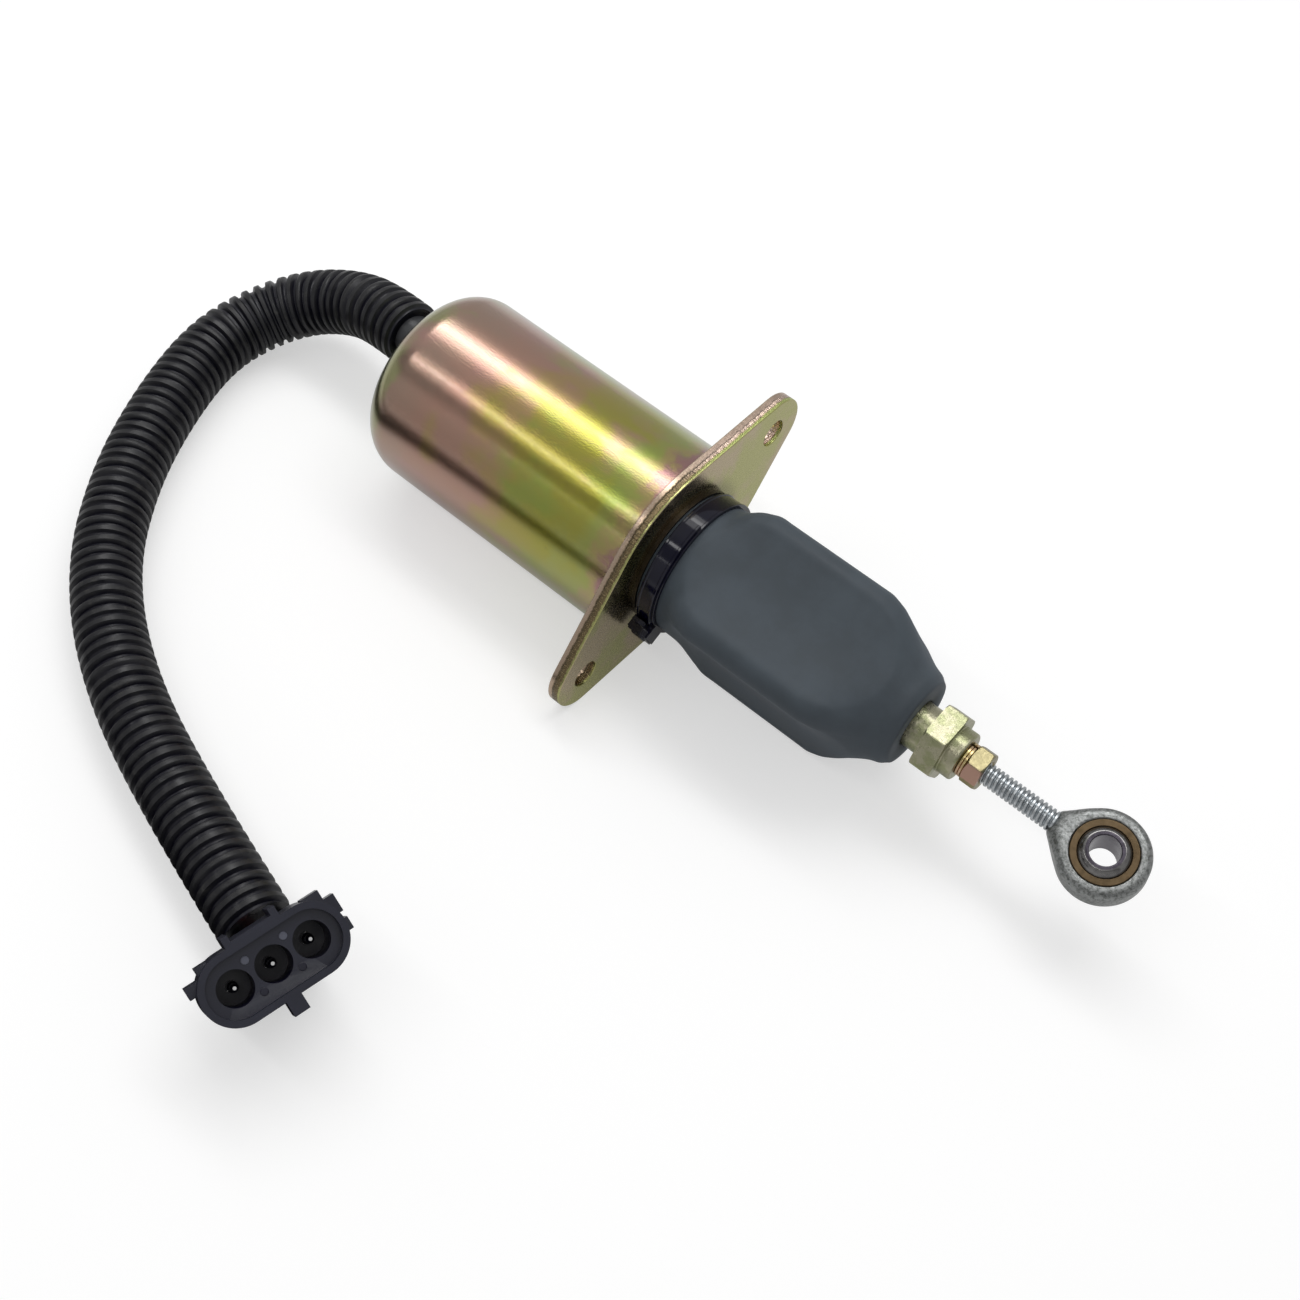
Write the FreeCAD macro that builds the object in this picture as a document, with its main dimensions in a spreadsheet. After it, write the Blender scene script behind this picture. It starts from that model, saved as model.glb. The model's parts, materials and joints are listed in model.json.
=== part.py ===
import FreeCAD, Part
import Sketcher
import math
import os

# Fuel shutoff solenoid with a push rod in a rubber boot, a rod end and a wired connector.
# The origin is the middle of the flange's front face. +X runs along the plunger to the rod
# end and +Z is up. The part lies on one long edge of its flange, at z = -flange_mid_radius.

# Driving sizes in millimetres and degrees
SIZES = {
    # steel can
    "can_radius": 23.0,
    "can_length": 73.8,
    "can_wall": 1.6,
    "can_corner_radius": 9.0,
    # mounting flange
    "flange_thickness": 3.2,
    "flange_mid_radius": 23.8,
    "flange_tip_radius": 8.6,
    "flange_hole_reach": 33.35,
    "flange_hole_radius": 3.25,
    # hub that carries the boot
    "hub_spigot_radius": 10.0,
    "hub_shoulder_radius": 16.2,
    "hub_shoulder_width": 1.0,
    "hub_barrel_radius": 13.4,
    "hub_groove_depth": 0.5,
    "hub_length": 8.5,
    # guide tube and magnet core
    "tube_wall": 0.7,
    "tube_tail": 58.8,
    "plunger_radius": 7.0,
    "plunger_length": 40.5,
    "plunger_front": 24.0,
    "running_clearance": 0.08,
    "cone_depth": 4.0,
    "cone_tip_radius": 3.6,
    "pole_cup_edge": 0.6,
    "plunger_edge": 0.8,
    "stroke": 25.0,
    "stroke_spare": 0.5,
    # coil
    "bobbin_wall": 1.1,
    "bobbin_cheek": 1.8,
    "coil_clearance": 0.4,
    "pull_coil_share": 0.63,
    "coil_relief": 2.4,
    "wrap_thickness": 0.6,
    "seat_gap": 0.05,
    "flux_washer_thickness": 2.5,
    "flux_washer_inset": 2.8,
    "board_thickness": 1.0,
    "board_inset": 3.6,
    "board_standoff": 3.0,
    # stud, coupler and return spring
    "stud_radius": 3.0,
    "stud_in_plunger": 14.0,
    "coupler_shank_radius": 5.3,
    "coupler_back": 53.5,
    "hex_back": 66.7,
    "hex_across_flats": 14.4,
    "hex_length": 5.6,
    "hex_turn": 125.6,
    "corner_bevel": 0.6,
    "collar_radius": 5.6,
    "collar_length": 4.0,
    "collar_chamfer": 0.5,
    "coupler_web": 2.2,
    "seat_washer_radius": 10.0,
    "seat_washer_thickness": 1.5,
    "seat_washer_edge": 0.5,
    "spring_radius": 8.5,
    "spring_wire_radius": 0.75,
    "spring_open_turns": 6.0,
    "spring_closed_gap": 0.1,
    # lock washer and jam nut
    "thread_radius": 2.415,
    "lock_washer_radius": 3.9,
    "lock_washer_thickness": 1.4,
    "lock_washer_slit": 0.7,
    "lock_washer_turn": 70.0,
    "nut_across_flats": 9.5,
    "nut_length": 3.8,
    "nut_turn": 155.6,
    "cut_margin": 1.0,
    # rod end
    "eye_reach": 110.0,
    "eye_radius": 9.525,
    "eye_width": 7.14,
    "eye_chamfer": 1.2,
    "eye_roll": 17.2,
    "shank_entry": 5.4,
    "shank_edge": 0.5,
    "neck_start": 98.5,
    "neck_waist": 2.2,
    "neck_waist_flare": 0.7,
    "neck_half_width": 6.3,
    "neck_half_height": 2.7,
    "neck_seat": 5.9,
    "race_radius": 6.9,
    "race_width": 7.0,
    "ball_radius": 6.35,
    "ball_width": 9.53,
    "ball_bore_radius": 3.175,
    # rubber boot
    "boot_roll": 22.8,
    "boot_wall": 2.2,
    "boot_neck_radius": 15.5,
    "boot_start": 1.0,
    "boot_neck_end": 7.2,
    "boot_shoulder": 15.5,
    "boot_shoulder_end": 46.5,
    "boot_half_width": 16.6,
    "boot_side_radius": 66.4,
    "boot_corner_radius": 5.5,
    "boot_lip_start": 59.5,
    "boot_end": 62.5,
    "boot_lip_radius": 9.4,
    "boot_grip_gap": 0.2,
    "dish_depth": 1.0,
    "dish_length": 46.0,
    "dish_width": 24.0,
    # cable tie round the boot's neck
    "tie_start": 1.9,
    "tie_width": 4.6,
    "tie_thickness": 1.2,
    "tie_head_angle": 207.0,
    "tie_head_length": 5.6,
    "tie_head_height": 4.2,
    "tie_head_margin": 0.3,
    # cable exit
    "exit_y": 6.0,
    "exit_z": 0.0,
    "grommet_radius": 5.0,
    "grommet_bore": 4.1,
    "grommet_length": 12.0,
    "grommet_lip_radius": 6.2,
    "grommet_lip": 1.2,
    "conduit_radius": 7.75,
    "conduit_bore": 6.1,
    "lead_radius": 1.15,
    "lead_pitch": 2.36,
    "lead_spread": 3.0,
    "lead_fan": 0.5,
    "lead_straight": 4.5,
    "lead_entry": 1.0,
    # connector, in its own frame: Z out of the face, X along the row of cavities
    "connector_x": 9.15,
    "connector_y": -126.62,
    "connector_z": 2.0,
    "connector_azimuth": 66.0,
    "connector_elevation": 60.0,
    "connector_twist": 13.0,
    "connector_half_length": 15.0,
    "connector_half_height": 7.1,
    "connector_depth": 18.0,
    "shroud_depth": 11.0,
    "shroud_step": 1.0,
    "connector_rim": 1.35,
    "connector_recess": 1.8,
    "cavity_pitch": 8.1,
    "cavity_radius": 3.55,
    "cavity_depth": 12.0,
    "seal_radius": 2.7,
    "seal_length": 5.0,
    "seal_rib": 0.4,
    "pin_radius": 0.8,
    "pin_root": 3.0,
    "pin_taper": 1.0,
    "pin_nose_radius": 0.35,
    "pin_tip_back": 4.0,
    "lock_tab_centre": -0.3,
    "lock_tab_width": 3.2,
    "lock_tab_height": 3.1,
    "lock_tab_length": 6.0,
    "rail_start": -5.9,
    "rail_end": 5.4,
    "rail_height": 0.8,
    "rail_ear_width": 1.4,
    "rail_ear_height": 1.3,
    "lug_back": 2.5,
    "lug_length": 4.5,
    "lug_inner": 2.5,
    "lug_overhang": 0.85,
    "lock_clip_wall": 1.3,
    "lock_clip_tail": 6.2,
    "lock_clip_half_width": 9.5,
}

# The conduit's route from the can's closed end, round and down to the floor, to the connector
CONDUIT_ROUTE = [
    (-87.0, 6.0, 0.0),
    (-98.0, 7.5, -1.5),
    (-109.0, 8.0, -6.0),
    (-119.5, 4.3, -10.6),
    (-127.0, -4.5, -14.3),
    (-129.8, -19.0, -16.05),
    (-123.8, -38.5, -16.05),
    (-113.0, -60.5, -16.05),
    (-96.5, -81.5, -16.05),
    (-73.0, -97.5, -16.05),
    (-42.5, -109.0, -16.05),
    (-6.5, -118.5, -16.05),
]

document = FreeCAD.newDocument("FuelShutoffSolenoid")
sheet = document.addObject("Spreadsheet::Sheet", "Sizes")
for row, (alias, value) in enumerate(SIZES.items(), start=1):
    sheet.set(f"A{row}", alias)
    sheet.set(f"B{row}", str(value))
    sheet.setAlias(f"B{row}", alias)
document.recompute()


class Size:
    # A length that knows both its value and the expression that binds it to the sheet
    def __init__(self, value, text):
        self.value = value
        self.text = text

    def _join(self, other, sign, value):
        text = other.text if isinstance(other, Size) else repr(float(other))
        return Size(value, f"({self.text} {sign} {text})")

    def __add__(self, other):
        return self._join(other, "+", self.value + number(other))

    def __sub__(self, other):
        return self._join(other, "-", self.value - number(other))

    def __mul__(self, other):
        return self._join(other, "*", self.value * number(other))

    def __truediv__(self, other):
        return self._join(other, "/", self.value / number(other))

    def __neg__(self):
        return Size(-self.value, f"(0 - {self.text})")

    def root(self):
        return Size(math.sqrt(self.value), f"sqrt({self.text})")


def number(size):
    return size.value if isinstance(size, Size) else float(size)


class Sheet:
    # Reads each named size from the spreadsheet
    def __getattr__(self, alias):
        return Size(float(sheet.get(alias)), f"Sizes.{alias}")


dims = Sheet()
NOTHING = dims.seat_gap - dims.seat_gap

# Stations along the plunger's axis that several pieces share
can_mouth = -dims.flange_thickness
can_back = can_mouth - dims.can_length
board_back = can_back + dims.can_wall + dims.board_standoff
board_front = board_back + dims.board_thickness
flux_front = board_front + dims.flux_washer_thickness
plunger_back = dims.plunger_front - dims.plunger_length
pole_front = plunger_back - dims.stroke - dims.stroke_spare
tube_bore = dims.plunger_radius + dims.running_clearance
tube_radius = tube_bore + dims.tube_wall
tube_back = dims.hub_length - dims.tube_tail
spring_end = dims.coupler_back - dims.seat_washer_thickness
hex_front = dims.hex_back + dims.hex_length
collar_front = hex_front + dims.collar_length
nut_back = collar_front + dims.lock_washer_thickness
nut_front = nut_back + dims.nut_length
shank_back = collar_front - dims.shank_entry
connector_back = -dims.connector_depth


def bind(thing, name, size):
    thing.setExpression(name, size.text)


def new_body(label):
    body = document.addObject("PartDesign::Body", label)
    body.Label = label
    return body


def new_sketch(body, name, plane, lift=None):
    # A sketch on one of the body's own planes, lifted along that plane's normal
    sketch = body.newObject("Sketcher::SketchObject", name)
    support = [item for item in body.Origin.OriginFeatures if item.Role == plane][0]
    sketch.AttachmentSupport = [(support, "")]
    sketch.MapMode = "FlatFace"
    if lift is not None:
        sketch.AttachmentOffset = FreeCAD.Placement(
            FreeCAD.Vector(0, 0, number(lift)), FreeCAD.Rotation())
        bind(sketch, "AttachmentOffset.Base.z", lift)
    return sketch


def fix_point(sketch, geometry, end, x, y):
    # Holds one point of the sketch at its place from the sketch's origin
    for kind, size in (("DistanceX", x), ("DistanceY", y)):
        place = sketch.addConstraint(Sketcher.Constraint(kind, -1, 1, geometry, end, number(size)))
        if isinstance(size, Size):
            bind(sketch, f"Constraints[{place}]", size)


def arc_between(start, end, radius, turn):
    # The arc of less than half a circle from start to end; turn is 1 to the left, -1 to the right
    chord = end - start
    height = math.sqrt(max(radius ** 2 - (chord.Length / 2) ** 2, 0.0))
    side = FreeCAD.Vector(-chord.y, chord.x, 0).normalize() * (turn * height)
    centre = (start + end) * 0.5 + side
    first, last = (start, end) if turn > 0 else (end, start)
    angles = [math.atan2(point.y - centre.y, point.x - centre.x) for point in (first, last)]
    circle = Part.Circle(centre, FreeCAD.Vector(0, 0, 1), radius)
    return Part.ArcOfCircle(circle, angles[0], angles[1] if angles[1] > angles[0]
                            else angles[1] + 2 * math.pi)


def draw_loop(sketch, corners, arcs=None):
    # A closed outline through the corners; arcs gives an edge's radius and the side it turns to
    arcs = arcs or {}
    points = [FreeCAD.Vector(number(x), number(y), 0) for x, y in corners]
    count = len(points)
    ends = []
    for i, point in enumerate(points):
        after = points[(i + 1) % count]
        if i in arcs:
            radius, turn = arcs[i]
            edge = sketch.addGeometry(arc_between(point, after, number(radius), turn), False)
            ends.append((edge, 1, 2) if turn > 0 else (edge, 2, 1))
        else:
            edge = sketch.addGeometry(Part.LineSegment(point, after), False)
            ends.append((edge, 1, 2))
    for i in range(count):
        edge, head, tail = ends[i]
        after = ends[(i + 1) % count]
        sketch.addConstraint(Sketcher.Constraint("Coincident", edge, tail, after[0], after[1]))
        fix_point(sketch, edge, head, corners[i][0], corners[i][1])
    for i, (radius, turn) in arcs.items():
        place = sketch.addConstraint(Sketcher.Constraint("Radius", ends[i][0], number(radius)))
        if isinstance(radius, Size):
            bind(sketch, f"Constraints[{place}]", radius)


def stadium(half_length, half_height):
    # A slot outline with round ends, with two arcs to each end
    run = half_length - half_height
    corners = [(run, -half_height), (half_length, NOTHING), (run, half_height),
               (-run, half_height), (-half_length, NOTHING), (-run, -half_height)]
    arcs = {0: (half_height, 1), 1: (half_height, 1), 3: (half_height, 1), 4: (half_height, 1)}
    return corners, arcs


def draw_circle(sketch, x, y, radius):
    centre = FreeCAD.Vector(number(x), number(y), 0)
    edge = sketch.addGeometry(Part.Circle(centre, FreeCAD.Vector(0, 0, 1), number(radius)), False)
    fix_point(sketch, edge, 3, x, y)
    place = sketch.addConstraint(Sketcher.Constraint("Radius", edge, number(radius)))
    bind(sketch, f"Constraints[{place}]", radius)


def revolve(body, sketch, name, kind="PartDesign::Revolution", axis="H_Axis"):
    feature = body.newObject(kind, name)
    feature.Profile = sketch
    feature.ReferenceAxis = (sketch, [axis])
    feature.Angle = 360
    return feature


def turned(label, corners, arcs=None):
    # A piece turned about the plunger's axis, from a profile of (station, radius) corners
    body = new_body(label)
    sketch = new_sketch(body, label + "_profile", "XY_Plane")
    draw_loop(sketch, corners, arcs)
    revolve(body, sketch, label + "_turning")
    return body


def roll(body, degrees):
    # Turns a finished piece about the plunger's axis
    body.Placement.Rotation = FreeCAD.Rotation(FreeCAD.Vector(1, 0, 0), number(degrees))
    bind(body, "Placement.Rotation.Angle", degrees)


def ring_profile(back, front, inner, outer):
    return [(back, inner), (front, inner), (front, outer), (back, outer)]


def pad(body, sketch, name, length, both=False):
    feature = body.newObject("PartDesign::Pad", name)
    feature.Profile = sketch
    feature.Length = number(length)
    feature.Midplane = both
    bind(feature, "Length", length)
    return feature


def cut_through(body, sketch, name):
    # A cut in both directions through the whole piece, checked to have taken something away
    document.recompute()
    before = body.Shape.Volume
    feature = body.newObject("PartDesign::Pocket", name)
    feature.Profile = sketch
    feature.Type = "ThroughAll"
    feature.Midplane = True
    document.recompute()
    if body.Shape.Volume >= before:
        raise RuntimeError(name + " cuts nothing")
    return feature


def cut_down(body, sketch, name, depth):
    # A cut from the sketch down into the piece, against the plane's normal
    document.recompute()
    before = body.Shape.Volume
    feature = body.newObject("PartDesign::Pocket", name)
    feature.Profile = sketch
    feature.Length = number(depth)
    bind(feature, "Length", depth)
    document.recompute()
    if body.Shape.Volume >= before:
        raise RuntimeError(name + " cuts nothing")
    return feature


def hexagon(across_flats, first_corner_degrees):
    corner = across_flats / math.sqrt(3.0)
    turns = [math.radians(first_corner_degrees + 60 * i) for i in range(6)]
    return [(corner * math.cos(a), corner * math.sin(a)) for a in turns]


def cut_corners(body, name, back, front, across_flats):
    # Turns the corners off both ends of a hexagon, as on a nut
    corner = across_flats / math.sqrt(3.0)
    flat = across_flats / 2
    rise = (corner - flat) * dims.corner_bevel
    outside = corner + dims.cut_margin
    for end, edge, inward in (("back", back, rise), ("front", front, -rise)):
        cutter = new_sketch(body, f"{name}_{end}", "XY_Plane")
        draw_loop(cutter, [
            (edge, flat), (edge + inward, corner), (edge + inward, outside), (edge, outside),
        ])
        revolve(body, cutter, f"{name}_{end}_cut", "PartDesign::Groove")


def make_can():
    # Deep-drawn cup with a round-cornered closed end and the cable's hole in it
    outer = dims.can_radius
    inner = outer - dims.can_wall
    corner = dims.can_corner_radius
    inside = corner - dims.can_wall
    floor = can_back + dims.can_wall
    body = turned("can", [
        (can_mouth, inner), (can_mouth, outer), (can_back + corner, outer),
        (can_back, outer - corner), (can_back, NOTHING), (floor, NOTHING),
        (floor, outer - corner), (can_back + corner, inner),
    ], {2: (corner, 1), 6: (inside, -1)})
    hole = new_sketch(body, "can_cable_hole", "YZ_Plane")
    draw_circle(hole, dims.exit_y, dims.exit_z, dims.grommet_radius)
    cut_through(body, hole, "can_cable_cut")
    return body


def make_flange():
    # Rhombic plate: straight edges run tangent from the round middle to the two round tips
    body = new_body("mounting_flange")
    mid, tip, reach = dims.flange_mid_radius, dims.flange_tip_radius, dims.flange_hole_reach
    lean = (mid - tip) / reach
    rise = (NOTHING + 1 - lean * lean).root()
    corners = [
        (reach + tip, NOTHING), (reach + tip * lean, tip * rise), (mid * lean, mid * rise),
        (-(mid * lean), mid * rise), (-(reach + tip * lean), tip * rise),
        (-(reach + tip), NOTHING), (-(reach + tip * lean), -(tip * rise)),
        (-(mid * lean), -(mid * rise)), (mid * lean, -(mid * rise)),
        (reach + tip * lean, -(tip * rise)),
    ]
    arcs = {0: (tip, 1), 2: (mid, 1), 4: (tip, 1), 5: (tip, 1), 7: (mid, 1), 9: (tip, 1)}
    plate = new_sketch(body, "flange_outline", "YZ_Plane", can_mouth)
    draw_loop(plate, corners, arcs)
    pad(body, plate, "flange_plate", dims.flange_thickness)
    holes = new_sketch(body, "flange_holes", "YZ_Plane")
    draw_circle(holes, reach, NOTHING, dims.flange_hole_radius)
    draw_circle(holes, -reach, NOTHING, dims.flange_hole_radius)
    draw_circle(holes, NOTHING, NOTHING, dims.hub_spigot_radius)
    cut_through(body, holes, "flange_hole_cut")
    body.Placement.Rotation = FreeCAD.Rotation(
        FreeCAD.Vector(1, 0, 0), math.degrees(math.asin(number(lean))))
    body.setExpression("Placement.Rotation.Angle", f"asin({lean.text})")
    return body


def make_hub():
    # Turned hub, staked into the flange, that carries the guide tube and the boot's neck
    barrel = dims.hub_barrel_radius
    waist = barrel - dims.hub_groove_depth
    tie_end = dims.tie_start + dims.tie_width
    return turned("front_hub", [
        (can_mouth, tube_radius), (dims.hub_length, tube_radius), (dims.hub_length, waist),
        (dims.hub_length - dims.hub_groove_depth, barrel), (tie_end, barrel), (tie_end, waist),
        (dims.tie_start, waist), (dims.tie_start, barrel), (dims.hub_shoulder_width, barrel),
        (dims.hub_shoulder_width, dims.hub_shoulder_radius), (NOTHING, dims.hub_shoulder_radius),
        (NOTHING, dims.hub_spigot_radius), (can_mouth, dims.hub_spigot_radius),
    ])


def make_magnet():
    # Guide tube, coned pole piece, bobbin, its two windings and their wrap, flux washer, board
    turned("guide_tube", ring_profile(tube_back, dims.hub_length, tube_bore, tube_radius))
    cup = pole_front - dims.cone_depth
    turned("pole_piece", [
        (board_front, NOTHING), (cup, NOTHING), (cup, dims.cone_tip_radius),
        (pole_front, dims.plunger_radius - dims.pole_cup_edge), (pole_front, tube_bore),
        (tube_back, tube_bore), (tube_back, tube_radius), (board_front, tube_radius),
    ])
    barrel = tube_radius + dims.seat_gap
    wound = barrel + dims.bobbin_wall
    cheek = dims.can_radius - dims.can_wall - dims.coil_clearance
    pull = cheek * dims.pull_coil_share
    hold = cheek - dims.coil_relief
    back, front = flux_front + dims.bobbin_cheek, can_mouth - dims.bobbin_cheek
    turned("coil_bobbin", [
        (flux_front, barrel), (can_mouth, barrel), (can_mouth, cheek), (front, cheek),
        (front, wound), (back, wound), (back, cheek), (flux_front, cheek),
    ])
    turned("pull_winding", ring_profile(back, front, wound, pull))
    turned("hold_winding", ring_profile(back, front, pull, hold))
    turned("winding_wrap", ring_profile(back, front, hold, hold + dims.wrap_thickness))
    turned("rear_flux_washer", ring_profile(
        board_front, flux_front, tube_radius, dims.can_radius - dims.flux_washer_inset))
    board = dims.can_radius - dims.board_inset
    turned("terminal_board", [
        (board_back, NOTHING), (board_front, NOTHING), (board_front, board), (board_back, board),
    ])


def make_plunger():
    # Soft-iron plunger with a coned tail, tapped at its front for the stud
    tapped = dims.plunger_front - dims.stud_in_plunger
    nose = plunger_back + dims.cone_depth
    front, edge, radius = dims.plunger_front, dims.plunger_edge, dims.plunger_radius
    turned("plunger", [
        (plunger_back, NOTHING), (tapped, NOTHING), (tapped, dims.stud_radius),
        (front, dims.stud_radius), (front, radius - edge), (front - edge, radius), (nose, radius),
        (plunger_back, dims.cone_tip_radius),
    ])
    stud_front = dims.hex_back + dims.coupler_web
    turned("plunger_stud", [
        (tapped, NOTHING), (stud_front, NOTHING), (stud_front, dims.stud_radius),
        (tapped, dims.stud_radius),
    ])


def make_coupler():
    # Hexagonal coupler: shank in the boot, wrench hexagon, round collar, tapped at both ends
    stud_front = dims.hex_back + dims.coupler_web
    tapping = stud_front + dims.coupler_web / 2
    shank, collar, edge = dims.coupler_shank_radius, dims.collar_radius, dims.collar_chamfer
    body = turned("hex_coupler", [
        (dims.coupler_back, dims.stud_radius), (stud_front, dims.stud_radius), (stud_front, NOTHING),
        (tapping, NOTHING), (tapping, dims.thread_radius), (collar_front, dims.thread_radius),
        (collar_front, collar - edge), (collar_front - edge, collar), (hex_front, collar),
        (hex_front, shank), (dims.coupler_back, shank),
    ])
    flats = new_sketch(body, "coupler_hexagon", "YZ_Plane", dims.hex_back)
    draw_loop(flats, hexagon(dims.hex_across_flats, number(dims.hex_turn)))
    draw_circle(flats, NOTHING, NOTHING, (shank + dims.stud_radius) / 2)
    pad(body, flats, "coupler_hexagon_pad", dims.hex_length)
    cut_corners(body, "coupler_corner", dims.hex_back, hex_front, dims.hex_across_flats)
    return body


def make_spring():
    # Return spring between the hub's face and the washer on the stud, with closed end turns.
    # Each half turn is an arc in a slightly leaning plane, and meets the next one smoothly.
    wire, radius = number(dims.spring_wire_radius), number(dims.spring_radius)
    start, end = number(dims.hub_length) + wire, number(spring_end) - wire
    closed = wire + number(dims.spring_closed_gap) / 2
    open_halves = round(number(dims.spring_open_turns) * 2)
    rise = (end - start - closed * 4) / open_halves
    x = start
    edges = []
    for i, step in enumerate([closed] * 2 + [rise] * open_halves + [closed] * 2):
        side = 1 if i % 2 == 0 else -1
        first = FreeCAD.Vector(x, side * radius, 0)
        x += step
        last = FreeCAD.Vector(x, -side * radius, 0)
        bulge = FreeCAD.Vector(0, 0, side * first.distanceToPoint(last) / 2)
        edges.append(Part.Arc(first, (first + last) * 0.5 + bulge, last).toShape())
    mouth = Part.makeCircle(wire, FreeCAD.Vector(start, radius, 0), FreeCAD.Vector(0, 0, 1))
    add_feature("return_spring", Part.Wire(edges).makePipe(Part.Face(Part.Wire(mouth))))
    edge = dims.seat_washer_edge
    turned("spring_seat", [
        (spring_end, dims.stud_radius), (dims.coupler_back, dims.stud_radius),
        (dims.coupler_back, dims.seat_washer_radius - edge),
        (dims.coupler_back - edge, dims.seat_washer_radius), (spring_end, dims.seat_washer_radius),
    ])


def make_lock_washer():
    # Split spring washer between the coupler and the jam nut
    body = turned("lock_washer", ring_profile(
        collar_front, nut_back, dims.thread_radius + dims.seat_gap, dims.lock_washer_radius))
    slit = new_sketch(body, "washer_slit", "YZ_Plane", nut_back)
    half, inner = dims.lock_washer_slit / 2, dims.thread_radius / 2
    outer = dims.lock_washer_radius + dims.cut_margin
    draw_loop(slit, [(-half, inner), (half, inner), (half, outer), (-half, outer)])
    cut_through(body, slit, "washer_slit_cut")
    roll(body, dims.lock_washer_turn)
    return body


def make_nut():
    # Hexagonal jam nut that locks the rod end's shank
    body = new_body("jam_nut")
    flats = new_sketch(body, "nut_hexagon", "YZ_Plane", nut_back)
    draw_loop(flats, hexagon(dims.nut_across_flats, number(dims.nut_turn)))
    draw_circle(flats, NOTHING, NOTHING, dims.thread_radius)
    pad(body, flats, "nut_pad", dims.nut_length)
    cut_corners(body, "nut_corner", nut_back, nut_front, dims.nut_across_flats)
    return body


def turned_on_eye(label, corners, arcs=None):
    # A piece turned about the eye's own axis, which stands across the rod at the eye's reach
    body = new_body(label)
    sketch = new_sketch(body, label + "_profile", "XZ_Plane")
    sketch.AttachmentOffset = FreeCAD.Placement(
        FreeCAD.Vector(number(dims.eye_reach), 0, 0), FreeCAD.Rotation())
    bind(sketch, "AttachmentOffset.Base.x", dims.eye_reach)
    draw_loop(sketch, corners, arcs)
    revolve(body, sketch, label + "_turning", axis="V_Axis")
    roll(body, dims.eye_roll)
    return body


def make_rod_end():
    # Male rod end: chamfered round eye, neck that narrows to the shank, race pressed in the bore
    outer, half, chamfer = dims.eye_radius, dims.eye_width / 2, dims.eye_chamfer
    bore = dims.race_radius
    body = new_body("rod_end")
    shank = new_sketch(body, "shank_profile", "XY_Plane")
    thread, edge = dims.thread_radius, dims.shank_edge
    root, skin = dims.neck_start, thread + dims.seat_gap
    draw_loop(shank, [
        (shank_back, NOTHING), (root, NOTHING), (root, thread), (shank_back + edge, thread),
        (shank_back, thread - edge),
    ])
    revolve(body, shank, "shank_turning")
    sections = []
    for i, (station, wide, high) in enumerate([
            (root, skin + dims.seat_gap, skin),
            (root + dims.neck_waist, skin + dims.neck_waist_flare, skin),
            (dims.eye_reach - dims.neck_seat, dims.neck_half_width, dims.neck_half_height)]):
        section = new_sketch(body, f"neck_section_{i}", "YZ_Plane", station)
        draw_loop(section, *stadium(wide, high))
        sections.append(section)
    neck = body.newObject("PartDesign::AdditiveLoft", "neck_loft")
    neck.Profile = sections[0]
    neck.Sections = sections[1:]
    neck.Ruled = True
    head = new_sketch(body, "head_profile", "XZ_Plane")
    head.AttachmentOffset = FreeCAD.Placement(
        FreeCAD.Vector(number(dims.eye_reach), 0, 0), FreeCAD.Rotation())
    bind(head, "AttachmentOffset.Base.x", dims.eye_reach)
    draw_loop(head, [
        (bore, -half), (outer - chamfer, -half), (outer, chamfer - half),
        (outer, half - chamfer), (outer - chamfer, half), (bore, half),
    ])
    revolve(body, head, "head_turning", axis="V_Axis")
    opening = new_sketch(body, "race_seat", "XY_Plane")
    draw_circle(opening, dims.eye_reach, NOTHING, bore)
    cut_through(body, opening, "race_seat_cut")
    roll(body, dims.eye_roll)
    return body


def make_bearing():
    # Bronze race with a spherical bore, and the ball that swivels in it
    hollow = dims.ball_radius + dims.seat_gap
    half = dims.race_width / 2
    mouth = (hollow * hollow - half * half).root()
    turned_on_eye("rod_end_race", [
        (mouth, -half), (dims.race_radius, -half), (dims.race_radius, half), (mouth, half),
    ], {3: (hollow, -1)})
    ball, side = dims.ball_radius, dims.ball_width / 2
    face = (ball * ball - side * side).root()
    turned_on_eye("rod_end_ball", [
        (dims.ball_bore_radius, -side), (face, -side), (face, side), (dims.ball_bore_radius, side),
    ], {1: (ball, 1)})


def boot_sections(body, name, inset, ends):
    # Round neck, four-sided body with rounded corners, round lip: eight arcs to each section
    half = dims.boot_half_width - inset
    corner = dims.boot_corner_radius - inset / 2
    neck, lip = ends
    sections = []
    places = [
        (dims.boot_start, neck, None), (dims.boot_neck_end, neck, None),
        (dims.boot_shoulder, half, corner), (dims.boot_shoulder_end, half, corner),
        (dims.boot_lip_start, lip, None), (dims.boot_end, lip, None),
    ]
    for i, (station, reach, rounding) in enumerate(places):
        sketch = new_sketch(body, f"{name}_section_{i}", "YZ_Plane", station)
        if rounding is None:
            long, short = reach * math.sqrt(0.75), reach / 2
            bulge, turn_radius = reach, reach
        else:
            long, short = reach, reach - rounding
            bulge, turn_radius = dims.boot_side_radius, rounding
        corners = [(long, -short), (long, short), (short, long), (-short, long),
                   (-long, short), (-long, -short), (-short, -long), (short, -long)]
        arcs = {}
        for k in range(8):
            arcs[k] = (bulge, 1) if k % 2 == 0 else (turn_radius, 1)
        draw_loop(sketch, corners, arcs)
        sections.append(sketch)
    return sections


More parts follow.
